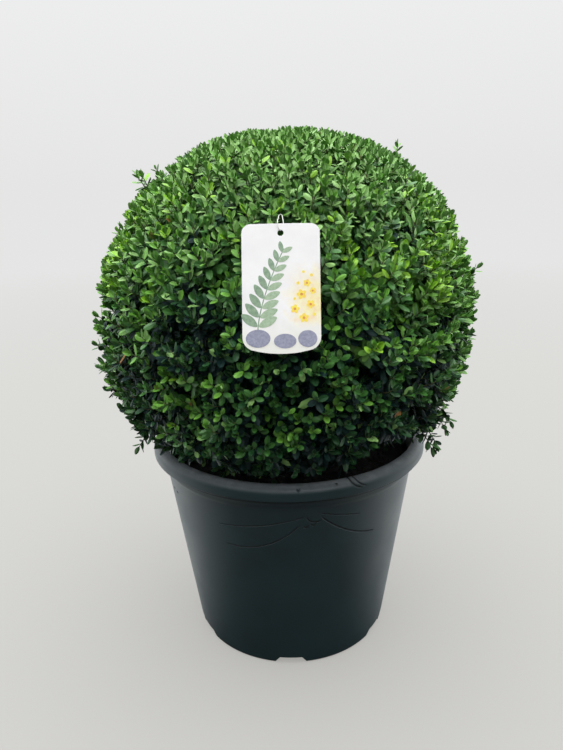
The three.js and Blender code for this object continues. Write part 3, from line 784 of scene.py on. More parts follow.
# %% Soil bed
SOIL_TOP = 236 * MM
SOIL_SINK = 3 * MM
SOIL_FLAT_RADIUS = 34 * MM
SOIL_EDGE_HEIGHT = POT_SHOULDER_HEIGHT
SOIL_EDGE_BEVEL = 6 * MM
SOIL_LEVEL_RINGS = (10 * MM, 110 * MM, 8)
SOIL_RISE_RINGS = (104 * MM, 36 * MM, 14)
SOIL_SLOPE = 1 / 75
SOIL_RELIEF = 1.4 * MM
SOIL_NOISE_SCALE = 90
SOIL_NOISE = (0.7, 2.2, 4)
SOIL_SIDES = 144
FIT_GAP = 0.3 * MM


def wall_inside(height):
    """The radius of the soil at a height, just clear of the pot's inner face."""
    return wall_radius(height) - POT_WALL - 2 * FIT_GAP


soil_bottom = floor_top + FIT_GAP
soil_edge = wall_inside(SOIL_EDGE_HEIGHT)
level_from, level_to, level_count = SOIL_LEVEL_RINGS
level_radii = np.linspace(soil_edge - level_from, level_to, level_count)
soil_rings = [(radius, SOIL_TOP - SOIL_SINK) for radius in (soil_edge - SOIL_EDGE_BEVEL, *level_radii)]
soil_rings += [(radius, SOIL_TOP - SOIL_SLOPE * radius) for radius in np.linspace(*SOIL_RISE_RINGS)]
soil_mesh = turned("soil", [
    (0, soil_bottom), (wall_inside(soil_bottom), soil_bottom), (soil_edge, SOIL_EDGE_HEIGHT),
    *soil_rings, (SOIL_FLAT_RADIUS, SOIL_TOP), (0, SOIL_TOP),
], SOIL_SIDES)
for vertex in soil_mesh.vertices:
    distance = vertex.co.xy.length
    if vertex.co.z > SOIL_EDGE_HEIGHT + MM and distance > SOIL_FLAT_RADIUS + MM:
        vertex.co.z += SOIL_RELIEF * noise.fractal(vertex.co * SOIL_NOISE_SCALE, *SOIL_NOISE)
print("soil bed:", len(soil_mesh.polygons), "faces")

# %% Soil finish and crumbs
SOIL_TONES = ((0.003, 0.003, 0.003, 1), (0.016, 0.013, 0.011, 1))
CRUMB_TONES = ((0.004, 0.0035, 0.003, 1), (0.04, 0.028, 0.019, 1))
CRUMB_DENSITY = 19000.0
CRUMB_SIZES = (1.2 * MM, 3.4 * MM)
CRUMB_BODY = 0.75
CRUMB_DENTS = 0.45
CRUMB_DENT_SCALE = 2.3
CRUMB_DENT_SHIFT = Vector((3, 1, 7))
CRUMB_FLATNESS = 0.55
SPOT_SEED, TURN_SEED, SIZE_SEED = 4, 5, 6

soil_material, tree, sockets = new_material("potting soil", Roughness=0.95)
place = object_place(tree)
cloud_over(tree, sockets, place, SOIL_TONES, scale=120.0, contrast=0.35)
feed(tree, sockets["Normal"], grainy(tree, place, scale=500.0, strength=0.8, distance=0.6 * MM))

crumb_material, tree, sockets = new_material("bark crumb", Roughness=0.9)
place = object_place(tree)
cloud_over(tree, sockets, place, CRUMB_TONES, scale=260.0, contrast=0.3)
feed(tree, sockets["Normal"], grainy(tree, place, scale=900.0, strength=0.6, distance=0.3 * MM))

crumb_bm = bmesh.new()
bmesh.ops.create_icosphere(crumb_bm, subdivisions=1, radius=1)
for vertex in crumb_bm.verts:
    vertex.co *= CRUMB_BODY + CRUMB_DENTS * noise.noise(vertex.co * CRUMB_DENT_SCALE + CRUMB_DENT_SHIFT)
    vertex.co.z *= CRUMB_FLATNESS
crumb_mesh = bpy.data.meshes.new("crumb")
crumb_bm.to_mesh(crumb_mesh)
crumb_bm.free()
crumb = bpy.data.objects.new("crumb", crumb_mesh)
print("crumb:", len(crumb_mesh.polygons), "faces")

# %% Strew the crumbs with Geometry Nodes
strewn, given, result = new_geometry_tree("strewn crumbs", [
    ("Crumb", "NodeSocketObject"), ("Density", "NodeSocketFloat"), ("Smallest", "NodeSocketFloat"),
    ("Largest", "NodeSocketFloat"), ("Lowest Spot", "NodeSocketFloat"), ("Finish", "NodeSocketMaterial"),
])
height_here = add_node(strewn, "ShaderNodeSeparateXYZ", {
    "Vector": add_node(strewn, "GeometryNodeInputPosition").outputs[0]}).outputs["Z"]
on_top = add_node(strewn, "FunctionNodeCompare", {
    0: height_here, 1: given["Lowest Spot"]}, data_type="FLOAT", operation="GREATER_THAN")
spots = add_node(strewn, "GeometryNodeDistributePointsOnFaces", {
    "Mesh": given["Geometry"], "Selection": on_top.outputs[0], "Density": given["Density"],
    "Seed": SPOT_SEED,
}, distribute_method="RANDOM")
any_turn = add_node(strewn, "FunctionNodeRandomValue", {
    "Max": (pi, pi, 2 * pi), "Seed": TURN_SEED}, data_type="FLOAT_VECTOR")
any_size = add_node(strewn, "FunctionNodeRandomValue", {
    2: given["Smallest"], 3: given["Largest"], "Seed": SIZE_SEED}, data_type="FLOAT")
crumbs = add_node(strewn, "GeometryNodeInstanceOnPoints", {
    "Points": spots.outputs["Points"],
    "Instance": geometry_of(strewn, given["Crumb"]),
    "Rotation": any_turn.outputs[0],
    "Scale": any_size.outputs[1],
})
end_tree(strewn, result, crumbs.outputs[0], given["Finish"])

crumb_heap = run_tree(soil_mesh.copy(), strewn, Crumb=crumb, Density=CRUMB_DENSITY,
                      Smallest=CRUMB_SIZES[0], Largest=CRUMB_SIZES[1],
                      Lowest_Spot=SOIL_EDGE_HEIGHT + MM, Finish=crumb_material)
bpy.data.objects.remove(crumb)
crumb_heap.shade_smooth()
finish_piece("soil_bed", soil_mesh, soil_material, "potting_soil", "soil")
finish_piece("soil_crumbs", crumb_heap, crumb_material, "potting_soil")

# %% [markdown]
# ## The stem
#
# Box has a slow, hard stem with fine grey-brown bark in shallow plates. The stem flares where it
# meets the soil and narrows to the point where the crown's own wood takes over. Rings of points
# follow the same flare, ridges and lean as the solid, and noise that is stretched along the stem
# raises the bark, so the relief is real geometry.

# %% Stem with bark
TRUNK_TOP = 276 * MM
TRUNK_FOOT_RADIUS = 19 * MM
TRUNK_TIP_RADIUS = 11 * MM
TRUNK_LEAN = 3 * MM
TRUNK_TAPER = 2 * MM
TRUNK_FOOT = SOIL_TOP + FIT_GAP
TRUNK_RINGS = 36
TRUNK_SIDES = 72
FLARE_FADING = 6
RIDGE_COUNT = 4
RIDGE_HEIGHT = 0.14
RIDGE_FADING = 5
BARK_RELIEF = 0.7 * MM
BARK_STRETCH = 5
BARK_NOISE_SCALE = 260
BARK_NOISE = (0.8, 2.1, 4)
BARK_TONES = ((0.05, 0.038, 0.026, 1), (0.24, 0.19, 0.13, 1))


def trunk_radius(share):
    """The plain radius of the stem, from its foot at 0 to its tip at 1."""
    flare = (TRUNK_FOOT_RADIUS - TRUNK_TIP_RADIUS - TRUNK_TAPER) * np.exp(-FLARE_FADING * share)
    return TRUNK_TIP_RADIUS + TRUNK_TAPER * (1 - share) + flare


trunk_height = TRUNK_TOP - TRUNK_FOOT
trunk_profile = [(trunk_radius(share), TRUNK_FOOT + trunk_height * share)
                 for share in np.linspace(0, 1, TRUNK_RINGS)]
trunk_mesh = turned("trunk", [(0, TRUNK_FOOT), *trunk_profile, (0, TRUNK_TOP)], TRUNK_SIDES)
for vertex in trunk_mesh.vertices:
    share = (vertex.co.z - TRUNK_FOOT) / trunk_height
    angle = np.arctan2(vertex.co.y, vertex.co.x)
    ridge = 1 + RIDGE_HEIGHT * np.exp(-RIDGE_FADING * share) * sin(RIDGE_COUNT * angle)
    spot = Vector((vertex.co.x, vertex.co.y, vertex.co.z / BARK_STRETCH))
    plates = noise.fractal(spot * BARK_NOISE_SCALE, *BARK_NOISE)
    outward = vertex.co.xy.length
    grow = ridge + (BARK_RELIEF * plates / outward if outward > MM else 0)
    vertex.co.x = vertex.co.x * grow + TRUNK_LEAN * share
    vertex.co.y *= grow

bark_material, tree, sockets = new_material("box bark", Roughness=0.85)
place = object_place(tree)
stretched = add_node(tree, "ShaderNodeMapping", {"Vector": place, "Scale": (1, 1, 0.25)})
plates = cloud_over(tree, sockets, stretched.outputs[0], BARK_TONES, scale=150.0, contrast=0.4)
feed(tree, sockets["Normal"], bump(tree, plates, strength=0.6, distance=0.5 * MM))
finish_piece("trunk_bark", trunk_mesh, bark_material, "bark", "trunk")

# %% [markdown]
# ## The crown's shape
#
# A clipped ball is a rule, not a drawing. Shears cut every shoot at one distance from a centre,
# give or take a swell, and the pot's mouth squeezes the lowest leaves inwards. The solid was
# grown by that rule, and the same rule is written here for whole arrays of points, so that
# thousands of shoots can be tested at once.

# %% Crown rule
CROWN_CENTRE = np.array((0, 0, 403)) * MM
CROWN_RADIUS = 225 * MM
CROWN_BOTTOM = 243 * MM
TUCK_TOP = 304 * MM
THROAT_RADIUS = 153 * MM
THROAT_LEFT_SHIFT = 8 * MM
THROAT_FOOT_RADIUS = 140 * MM
MOUTH_GAP = 4 * MM
TUCK_SLACK = 8 * MM
RAY_STEPS = np.arange(90, 250) * MM
# Each swell: its azimuth and elevation, its lift in millimetres, and its width in degrees.
CROWN_SWELLS = (
    (79, 44, 5, 16), (-72, -14, 5, 14), (70, -19, -6, 16), (0, 84, -4, 16), (-150, 70, -5, 22),
    (170, 5, 5, 24), (-80, -11, 4.5, 12),
)


def direction_of(azimuth, elevation):
    """A direction by two angles in degrees: azimuth 0 is the front and 90 is +X."""
    level = cos(radians(elevation))
    return np.array((sin(radians(azimuth)) * level, -cos(radians(azimuth)) * level,
                     sin(radians(elevation))))


def unit(vectors):
    """The same directions, each one long."""
    return vectors / np.linalg.norm(vectors, axis=-1, keepdims=True)


def nearness(directions, azimuth, elevation, width):
    """1 for a direction at a place on the ball, and less the further it is off."""
    apart = np.arccos(np.clip(directions @ direction_of(azimuth, elevation), -1, 1))
    return np.exp(-(apart / radians(width)) ** 2)


def crown_radius(directions):
    """How far the clipped face lies from the ball's centre."""
    radius = np.full(len(directions), CROWN_RADIUS)
    for azimuth, elevation, lift, width in CROWN_SWELLS:
        radius += lift * MM * nearness(directions, azimuth, elevation, width)
    return radius


def tuck_radius(points):
    """How far from the axis the crown may reach, low down."""
    x, y, z = points.T
    throat = THROAT_RADIUS - THROAT_LEFT_SHIFT * np.minimum(x, 0) / np.maximum(np.hypot(x, y), MM)
    mouth = POT_HEIGHT + MOUTH_GAP
    ball = sqrt((CROWN_RADIUS + TUCK_SLACK) ** 2 - (CROWN_CENTRE[2] - TUCK_TOP) ** 2)
    rise = np.clip((z - mouth) / (TUCK_TOP - mouth), 0, 1)
    over_rim = throat + (ball - throat) * np.sin(rise * pi / 2)
    share = np.clip((z - CROWN_BOTTOM) / (mouth - CROWN_BOTTOM), 0, None)
    in_pot = THROAT_FOOT_RADIUS + (THROAT_RADIUS - THROAT_FOOT_RADIUS) * share
    return np.where(z > TUCK_TOP, np.inf, np.where(z >= mouth, over_rim, in_pot))


def inside_crown(points, reach):
    """Whether each point is inside the clipped face, give or take the reach."""
    offset = points - CROWN_CENTRE
    distance = np.linalg.norm(offset, axis=1)
    held = (points[:, 2] >= CROWN_BOTTOM) & (np.hypot(*points[:, :2].T) <= tuck_radius(points))
    return held & (distance <= crown_radius(unit(offset)) + reach)


def surface_radius(directions):
    """Where a ray from the ball's centre leaves the crown, tuck and all."""
    points = CROWN_CENTRE + directions[:, None] * RAY_STEPS[None, :, None]
    inside = inside_crown(points.reshape(-1, 3), 0).reshape(len(directions), -1)
    return RAY_STEPS[np.maximum(np.cumprod(inside, axis=1).sum(axis=1) - 1, 0)]


sample = unit(np.array([(1, 0, 0), (0, -1, 0.2), (-1, 0, -0.8)], float))
print("crown radius to the right, front and low left:", surface_radius(sample).round(3))

# %% [markdown]
# ## The label's place
#
# The leaves have to keep off the label, so its place comes before them. The card leans back on
# the ball. In its own frame, X runs across it, Y up it and Z out of its printed face. Right
# behind its hole no leaf may show, because the gap between card and leaves looks dark there.

# %% Label frame
LABEL_CENTRE = Vector((-1, -203, 474.5)) * MM
LABEL_LEAN = 19
LABEL_WIDTH = 70 * MM
LABEL_HEIGHT = 115 * MM
LABEL_THICKNESS = 0.8 * MM
LABEL_TOP_CORNER = 8 * MM
LABEL_FOOT_CORNER = 12 * MM
LABEL_FOOT_SAG = 3 * MM
LABEL_FOOT_LIFT = 1.6 * MM
LABEL_CLEARANCE = 2 * MM
LOOP_CLEARANCE = 4 * MM
LOOP_RADIUS = 0.4 * MM
LOOP_SPREAD = 2.5 * MM
LOOP_RISE = 10 * MM
LOOP_SET_BACK = 9 * MM
HANGER_RADIUS = 0.6 * MM
HANGER_HEIGHT = LABEL_HEIGHT / 2 + LOOP_RISE - HANGER_RADIUS
HOLE_DROP = 8.5 * MM
CARD_HOLE_RADIUS = 2.75 * MM
HOLE_VIEW_RADIUS = 5.5 * MM
HOLE_VIEW_DEPTH = 17 * MM

label_matrix = Matrix.Translation(LABEL_CENTRE) @ Matrix.Rotation(radians(90 - LABEL_LEAN), 4, "X")
to_label = np.array(label_matrix.inverted())


def loop_points():
    """Points of the thread in the label's frame: up the front, over a twig, down behind."""
    edge = LABEL_HEIGHT / 2
    seat = edge - HOLE_DROP + CARD_HOLE_RADIUS - LOOP_RADIUS - FIT_GAP
    proud = LABEL_THICKNESS / 2 + LOOP_RADIUS + 2 * FIT_GAP
    bend = HANGER_RADIUS + LOOP_RADIUS + 1.5 * FIT_GAP

    def half(side):
        return [
            (side * 1.1 * MM, seat + 1.5 * MM, -side * proud),
            (side * 0.85 * LOOP_SPREAD, edge - 3 * MM, -side * proud),
            (side * LOOP_SPREAD, edge + 1.5 * MM, -side * proud - 0.6 * MM),
            (side * 0.7 * LOOP_SPREAD, HANGER_HEIGHT - 2 * MM, -0.8 * LOOP_SET_BACK),
            (side * bend * 0.87, HANGER_HEIGHT + bend * 0.5, -LOOP_SET_BACK),
        ]

    apex = (0, HANGER_HEIGHT + bend, -LOOP_SET_BACK)
    return [(0, seat, 0), *half(-1), apex, *half(1)[::-1]]


thread_points = np.array(loop_points())
between_points = (thread_points + np.roll(thread_points, 1, axis=0)) / 2
thread_spots = np.concatenate((thread_points, between_points))


def in_label_frame(points):
    """The points as the label sees them: across it, up it and out of it."""
    return points @ to_label[:3, :3].T + to_label[:3, 3]


def clear_of_label(points):
    """Whether each point keeps off the card, off what is before it, and off the thread."""
    local = in_label_frame(points)
    over_card = ((np.abs(local[:, 0]) < LABEL_WIDTH / 2 + LABEL_CLEARANCE)
                 & (np.abs(local[:, 1] + LABEL_FOOT_SAG / 2)
                    < (LABEL_HEIGHT + LABEL_FOOT_SAG) / 2 + LABEL_CLEARANCE)
                 & (local[:, 2] > -LABEL_THICKNESS / 2 - LABEL_CLEARANCE))
    nearest = np.linalg.norm(local[:, None] - thread_spots[None], axis=2).min(axis=1)
    return ~over_card & (nearest > LOOP_CLEARANCE)


def seen_in_hole(points):
    """Whether each point lies just behind the card's hole, where the gap has to look dark."""
    local = in_label_frame(points)
    off_axis = np.hypot(local[:, 0], local[:, 1] - (LABEL_HEIGHT / 2 - HOLE_DROP))
    return (off_axis < HOLE_VIEW_RADIUS) & (local[:, 2] > -HOLE_VIEW_DEPTH)


print("label centre:", tuple(round(c, 4) for c in LABEL_CENTRE))

# %% [markdown]
# ## The wood
#
# Inside the ball, a stem forks into boughs, boughs into branches, branches into sprays, and each
# spray into a handful of shoots. Every level spreads its tips evenly with the golden angle, as
# seeds sit in a sunflower, and grows from the member below that points nearest. Tubes along all
# those lines are made in one pass over arrays, because there are thousands.

# %% Directions and tubes
GOLDEN_ANGLE = pi * (3 - sqrt(5))


def spiral_directions(count, lowest, jitter=0.0):
    """Directions spread evenly from straight up to a lowest elevation in degrees."""
    order = np.arange(count)
    height = 1 - (1 - sin(radians(lowest))) * (order + 0.5) / count
    level = np.sqrt(1 - height ** 2)
    turn = order * GOLDEN_ANGLE
    even = np.stack((level * np.cos(turn), level * np.sin(turn), height), axis=1)
    return unit(even + jitter * random.normal(size=even.shape))


def curves(starts, ends, headings, count, pull):
    """Bent lines from starts to ends that arrive along the headings, and their middle controls."""
    span = np.linalg.norm(ends - starts, axis=1, keepdims=True)
    control = ends - headings * span * pull
    t = np.linspace(0, 1, count)[None, :, None]
    lines = ((1 - t) ** 2 * starts[:, None] + 2 * t * (1 - t) * control[:, None]
             + t ** 2 * ends[:, None])
    return lines, control


def tubes(lines, start_radius, end_radius, sides):
    """Points and faces of closed tapering tubes along many lines of equal point count."""
    lines = np.asarray(lines, float)
    count, steps = lines.shape[:2]
    tangent = unit(np.gradient(lines, axis=1))
    helper = np.where(np.abs(tangent[:, :1, 2:]) > 0.9, (1.0, 0, 0), (0, 0, 1.0))
    across = unit(np.cross(helper, tangent))
    other = np.cross(tangent, across)
    radius = np.linspace(start_radius, end_radius, steps)[None, :, None]
    rings = [lines + radius * (cos(a) * across + sin(a) * other)
             for a in np.linspace(0, 2 * pi, sides, endpoint=False)]
    points = np.stack(rings, axis=2).reshape(-1, 3)
    first = (np.arange(count)[:, None, None] * steps + np.arange(steps - 1)[None, :, None]) * sides
    i = np.arange(sides)[None, None, :]
    j = (i + 1) % sides
    walls = np.stack((first + i, first + j, first + j + sides, first + i + sides), axis=-1)
    faces = walls.reshape(-1, 4).tolist()
    ends = np.arange(count)[:, None] * steps * sides
    faces += (ends + np.arange(sides)[::-1]).tolist()
    faces += (ends + (steps - 1) * sides + np.arange(sides)).tolist()
    return points, faces


def joined(*parts):
    """Several lists of points and faces as one."""
    points, faces, offset = [], [], 0
    for part_points, part_faces in parts:
        points.append(np.asarray(part_points))
        faces += [[i + offset for i in face] for face in part_faces]
        offset += len(part_points)
    return np.concatenate(points), faces


print(f"golden angle: {np.degrees(GOLDEN_ANGLE):.1f} degrees")

# %% Stem, boughs and branches
BOUGH_COUNT = 14
BOUGH_REACH = 0.55
BRANCH_COUNT = 152
LOWEST_BRANCH = -50
FORK_HEIGHT = 318 * MM
STEM_RADIUS = 10 * MM
STEM_TAPER = 2 * MM
STEM_PAST_FORK = 6 * MM
BOUGH_RADII = (5 * MM, 3.2 * MM)
BRANCH_RADII = (3.2 * MM, 2.2 * MM)
BRANCH_DEPTH = 92 * MM
# Where a branch leaves the wood, as shares of its bough's tip and of the fork.
BRANCH_ORIGIN = (0.8, 0.2)

stem_foot = np.array((TRUNK_LEAN, 0, TRUNK_TOP + FIT_GAP))
fork = np.array((TRUNK_LEAN, 0, FORK_HEIGHT))
bough_dirs = spiral_directions(BOUGH_COUNT, LOWEST_BRANCH / 2)
branch_dirs = spiral_directions(BRANCH_COUNT, LOWEST_BRANCH)
bough_tips = CROWN_CENTRE + bough_dirs * BOUGH_REACH * CROWN_RADIUS
branch_surface = surface_radius(branch_dirs)
branch_tips = CROWN_CENTRE + branch_dirs * (branch_surface - BRANCH_DEPTH)[:, None]
nearest_bough = np.argmax(branch_dirs @ bough_dirs.T, axis=1)

stem_line = np.linspace(stem_foot, fork + (0, 0, STEM_PAST_FORK), 8)[None]
bough_starts = np.repeat(fork[None], BOUGH_COUNT, axis=0)
bough_lines, _ = curves(bough_starts, bough_tips, bough_dirs, count=9, pull=0.35)
tip_share, fork_share = BRANCH_ORIGIN
branch_starts = bough_tips[nearest_bough] * tip_share + fork * fork_share
branch_lines, _ = curves(branch_starts, branch_tips, branch_dirs, count=6, pull=0.4)
wood_points, wood_faces = joined(
    tubes(stem_line, STEM_RADIUS, STEM_RADIUS - STEM_TAPER, sides=20),
    tubes(bough_lines, *BOUGH_RADII, sides=10),
    tubes(branch_lines, *BRANCH_RADII, sides=6),
)
finish_piece("boughs", mesh_from("boughs", wood_points, wood_faces), bark_material, "bark",
             "foliage_ball")

# %% [markdown]
# The shears leave a face that looks even from afar and lively up close. Each spray is a low
# dome: its middle shoots reach the face, and its outer ones stay a little under it and lean
# outwards. Some shoots end deeper, and noise opens hollows among them. The face is calmer on the
# top, and sparse in a few places low down. Shoots also lean up towards the light, and a few
# strays have grown past the face since the last clipping. The lowest strays hang over the rim.

# %% Sprays and shoots
SPRAY_COUNT = 600
SHOOT_COUNT = 3900
LOWEST_SHOOT = -49
SPRAY_JITTER, SHOOT_JITTER = 0.02, 0.012
SPRAY_DEPTH = 56 * MM
SPRAY_SPREAD = 0.07
DOME_DROP = 8 * MM
DOME_EDGE = 1.3
UNEVEN_DIPS = (1.5, 2.0)
HOLLOW_DEPTH = 26 * MM
HOLLOW_SPACING = 8.5
HOLLOW_RAMP = (0.18, 0.25)
TOWARDS_LIGHT = 0.95
FANNING = 3.2
HEADING_JITTER = 0.18
MOUTH_THINNING = 0.72
MOUTH_RAMP = (0.42, 0.34)
UNDER_SHARE = 0.36
UNDER_DEPTH = (7 * MM, 30 * MM)
CALM_TOP = 0.9
TOP_DROP = 4.5 * MM
# Each patch: its azimuth and elevation, the share of shoots it lacks, and its width in degrees.
SPARSE_PATCHES = (
    (24, -38, 0.80, 8), (36, -36, 0.95, 9), (48, -34, 0.90, 9), (-58, -38, 0.50, 12),
    (150, -38, 0.70, 14),
)
SPARSE_SINK = 18 * MM
# Each stray: its azimuth and elevation, and how many millimetres it stands proud.
STRAYS = (
    (-75, 46, 12), (-77, 47, 10), (-78, 51, 4), (77, 57, 8), (76, 17, 6), (66, -25, 6),
    (64, -27, 5), (58, -30, 6), (56, -31, 4), (-61, -31, 4), (200, 36, 12), (150, 20, 5),
)
HANGING_DROP = 11 * MM
HANGING_PULL = 1.6
FACE_SLACK = 30 * MM

spray_dirs = spiral_directions(SPRAY_COUNT, LOWEST_SHOOT, SPRAY_JITTER)
shoot_dirs = spiral_directions(SHOOT_COUNT, LOWEST_SHOOT, SHOOT_JITTER)
stray_dirs = np.array([direction_of(azimuth, elevation) for azimuth, elevation, _ in STRAYS])
stray_reach = np.array([reach for _, _, reach in STRAYS]) * MM
shoot_dirs = np.concatenate((shoot_dirs, stray_dirs))
shoot_reach = np.concatenate((np.zeros(SHOOT_COUNT), stray_reach))
spray_of = np.argmax(shoot_dirs @ spray_dirs.T, axis=1)
branch_of = np.argmax(spray_dirs @ branch_dirs.T, axis=1)

aside = shoot_dirs - spray_dirs[spray_of]
off_middle = np.linalg.norm(aside, axis=1) / SPRAY_SPREAD
up_share = np.clip(shoot_dirs[:, 2], 0, 1)
calm = 1 - CALM_TOP * up_share
dips = calm * (DOME_DROP * np.minimum(off_middle, DOME_EDGE) ** 2
               + random.gamma(*UNEVEN_DIPS, len(shoot_dirs)) * MM) + TOP_DROP * (1 - calm)
hollows = np.array([noise.noise(Vector(d) * HOLLOW_SPACING) for d in shoot_dirs])
dips += calm * HOLLOW_DEPTH * ramp(hollows, *HOLLOW_RAMP)
under = random.uniform(size=len(dips)) < UNDER_SHARE * calm
dips += np.where(under, random.uniform(*UNDER_DEPTH, len(dips)), 0)
sparse = np.zeros(len(shoot_dirs))
for azimuth, elevation, share, width in SPARSE_PATCHES:
    sparse = np.maximum(sparse, share * nearness(shoot_dirs, azimuth, elevation, width))
dips += SPARSE_SINK * sparse
tip_radius = surface_radius(shoot_dirs) + shoot_reach - np.where(shoot_reach > 0, 0, dips)
tips = CROWN_CENTRE + shoot_dirs * tip_radius[:, None]
hanging = (shoot_reach > 0) & (shoot_dirs[:, 2] < 0)
tips[hanging, 2] -= HANGING_DROP
lift = np.where(hanging, -HANGING_PULL, TOWARDS_LIGHT)[:, None]
headings = unit(shoot_dirs + FANNING * aside + lift * np.array((0, 0, 1))
                + HEADING_JITTER * random.normal(size=shoot_dirs.shape))

spray_surface = surface_radius(spray_dirs)
spray_heads = CROWN_CENTRE + spray_dirs * (spray_surface - SPRAY_DEPTH)[:, None]
spray_lines, _ = curves(branch_tips[branch_of], spray_heads, spray_dirs, count=5, pull=0.5)

shoot_starts = spray_heads[spray_of]
shoot_lines, shoot_control = curves(shoot_starts, tips, headings, count=7, pull=0.55)
thinning = np.maximum(MOUTH_THINNING * ramp(-shoot_dirs[:, 2], *MOUTH_RAMP), sparse)
kept = inside_crown(tips, FACE_SLACK) & (random.uniform(size=len(tips)) > thinning) | hanging
for step in range(2, shoot_lines.shape[1]):
    kept &= clear_of_label(shoot_lines[:, step])
print(int(kept.sum()), "shoots on", SPRAY_COUNT, "sprays")

# %% Twig finish and mesh
TWIG_TONES = ((0.035, 0.05, 0.015, 1), (0.13, 0.12, 0.04, 1))
SPRAY_RADII = (2.2 * MM, 1.5 * MM)
SHOOT_RADII = (1.1 * MM, 0.5 * MM)
HANGER_BACK = (-4 * MM, 6 * MM, 18 * MM, 40 * MM)

twig_material, tree, sockets = new_material("young twig", Roughness=0.7)
cloud_over(tree, sockets, object_place(tree), TWIG_TONES, scale=90.0, contrast=0.4)
hanger = np.array([label_matrix @ Vector((0, HANGER_HEIGHT, -LOOP_SET_BACK - back))
                   for back in HANGER_BACK])
spray_points, spray_faces = joined(
    tubes(spray_lines, *SPRAY_RADII, sides=4),
    tubes(hanger[None], HANGER_RADIUS, HANGER_RADIUS, sides=12),
)
finish_piece("spray_stems", mesh_from("spray_stems", spray_points, spray_faces), twig_material,
             "bark", "foliage_ball")
shoot_points, shoot_faces = tubes(shoot_lines[kept], *SHOOT_RADII, sides=3)
finish_piece("shoots", mesh_from("shoots", shoot_points, shoot_faces), twig_material,
             "bark", "foliage_ball")

# %% [markdown]
# ## The leaves
#
# A box leaf is a small oval, about 12 mm long, thick and glossy, blunt at its tip, with its edges
# turned down along a raised middle. Sixteen triangles hold all of that. Old leaves arch back, and
# young ones are cupped round the tip of the shoot. The leaves deep in the crown are only seen as a
# dark ground, so a fourth shape with eight triangles does for them.

# %% Leaf shapes
LEAF_WIDTH = 0.5
LEAF_SECTIONS = ((0.13, 0.46), (0.36, 0.92), (0.64, 0.98), (0.88, 0.62))
INNER_SECTIONS = ((0.28, 0.86), (0.74, 0.88))


def leaf_shape(name, arch, fold, sections):
    """A leaf one unit long along X that faces +Z. Arch bends it down and fold turns its edges."""
    points = [(0, 0, 0)]
    for along, share in sections:
        half = LEAF_WIDTH / 2 * share
        middle = -arch * along ** 2
        edge = middle - fold * half
        points += [(along, -half, edge), (along, 0, middle), (along, half, edge)]
    points.append((1, 0, -arch - 0.3 * fold * LEAF_WIDTH / 2))
    faces = [(0, 1, 2), (0, 2, 3)]
    tip = len(points) - 1
    for a in range(1, tip - 3, 3):
        b = a + 3
        faces += [(a, b, b + 1, a + 1), (a + 1, b + 1, b + 2, a + 2)]
    faces += [(tip - 3, tip, tip - 2), (tip - 2, tip, tip - 1)]
    leaf = mesh_from(name, points, faces)
    for edge in leaf.edges:
        on_midrib = all(abs(leaf.vertices[v].co.y) < 1e-6 for v in edge.vertices)
        edge.use_edge_sharp = on_midrib
    return bpy.data.objects.new(name, leaf)


leaf_shapes = bpy.data.collections.new("leaf shapes")
for name, arch, fold, sections in (
    ("leaf_a_old", 0.15, 0.34, LEAF_SECTIONS), ("leaf_b_full", 0.04, -0.24, LEAF_SECTIONS),
    ("leaf_c_young", -0.12, -0.44, LEAF_SECTIONS), ("leaf_d_inner", 0.10, 0.20, INNER_SECTIONS),
):
    leaf_shapes.objects.link(leaf_shape(name, arch, fold, sections))

# %% [markdown]
# Leaves sit in pairs, and each pair is a quarter turn from the one below it. Towards the tip of
# a shoot the pairs are closer, smaller and more upright. Each leaf gets a root, three directions
# and a length. Whatever would stand out of the ball, touch the label or reach the pot is left out.

# %% Place every leaf
LEAF_PAIRS = 10
INNER_PAIR = 5
# How far behind the tip the first pair sits and the next one follows, in millimetres, and how
# fast the spacing grows.
FIRST_PAIR_BACK, PAIR_SPACING, PAIR_STRETCH = 0.6, 2.7, 1.28
PAIR_GROWTH = (0.66, 0.88, 0.98, 1.0, 1.0)
PAIR_OPENING = (21, 33, 44, 53, 60)
OLD_SHAPE, YOUNG_SHAPE, INNER_SHAPE = 0, 2, 3
CUPPED_PAIRS = 2
TURN_JITTER, OPENING_JITTER, ROLL_JITTER = 0.16, 7, 0.22
SIZE_JITTER = (0.88, 1.1)
SLIM_JITTER = (0.88, 1.12)
# How far open the leaves of a shoot are: the mean, its spread, the least and the most.
OPENNESS = (0.95, 0.15, 0.65, 1.3)
LEAF_LENGTH = (9.5 * MM, 13.8 * MM)
INNER_GROWTH = 1.3
LEAF_PROUD = 3.5 * MM
STRAY_PROUD = 8 * MM
FLAT_TOP = 0.6
OPEN_TOP = 0.35
WIDEST_OPENING = 80
# Where each leaf is tested, as shares of its length and its width.
TEST_SPOTS = ((0.2, 0), (0.5, -0.5), (0.5, 0.5), (0.85, -0.3), (0.85, 0.3), (1, 0))
POT_CLEARANCE = (4 * MM, 6 * MM)

shoot_ids = np.flatnonzero(kept)
starts, controls, ends = shoot_starts[shoot_ids], shoot_control[shoot_ids], tips[shoot_ids]
shoot_steps = shoot_lines[shoot_ids, 1:] - shoot_lines[shoot_ids, :-1]
shoot_length = np.linalg.norm(shoot_steps, axis=2).sum(axis=1)
leaf_size = random.uniform(*LEAF_LENGTH, len(shoot_ids))
first_turn = random.uniform(0, pi, len(shoot_ids))
openness = np.clip(random.normal(*OPENNESS[:2], len(shoot_ids)), *OPENNESS[2:])
openness += OPEN_TOP * up_share[shoot_ids]

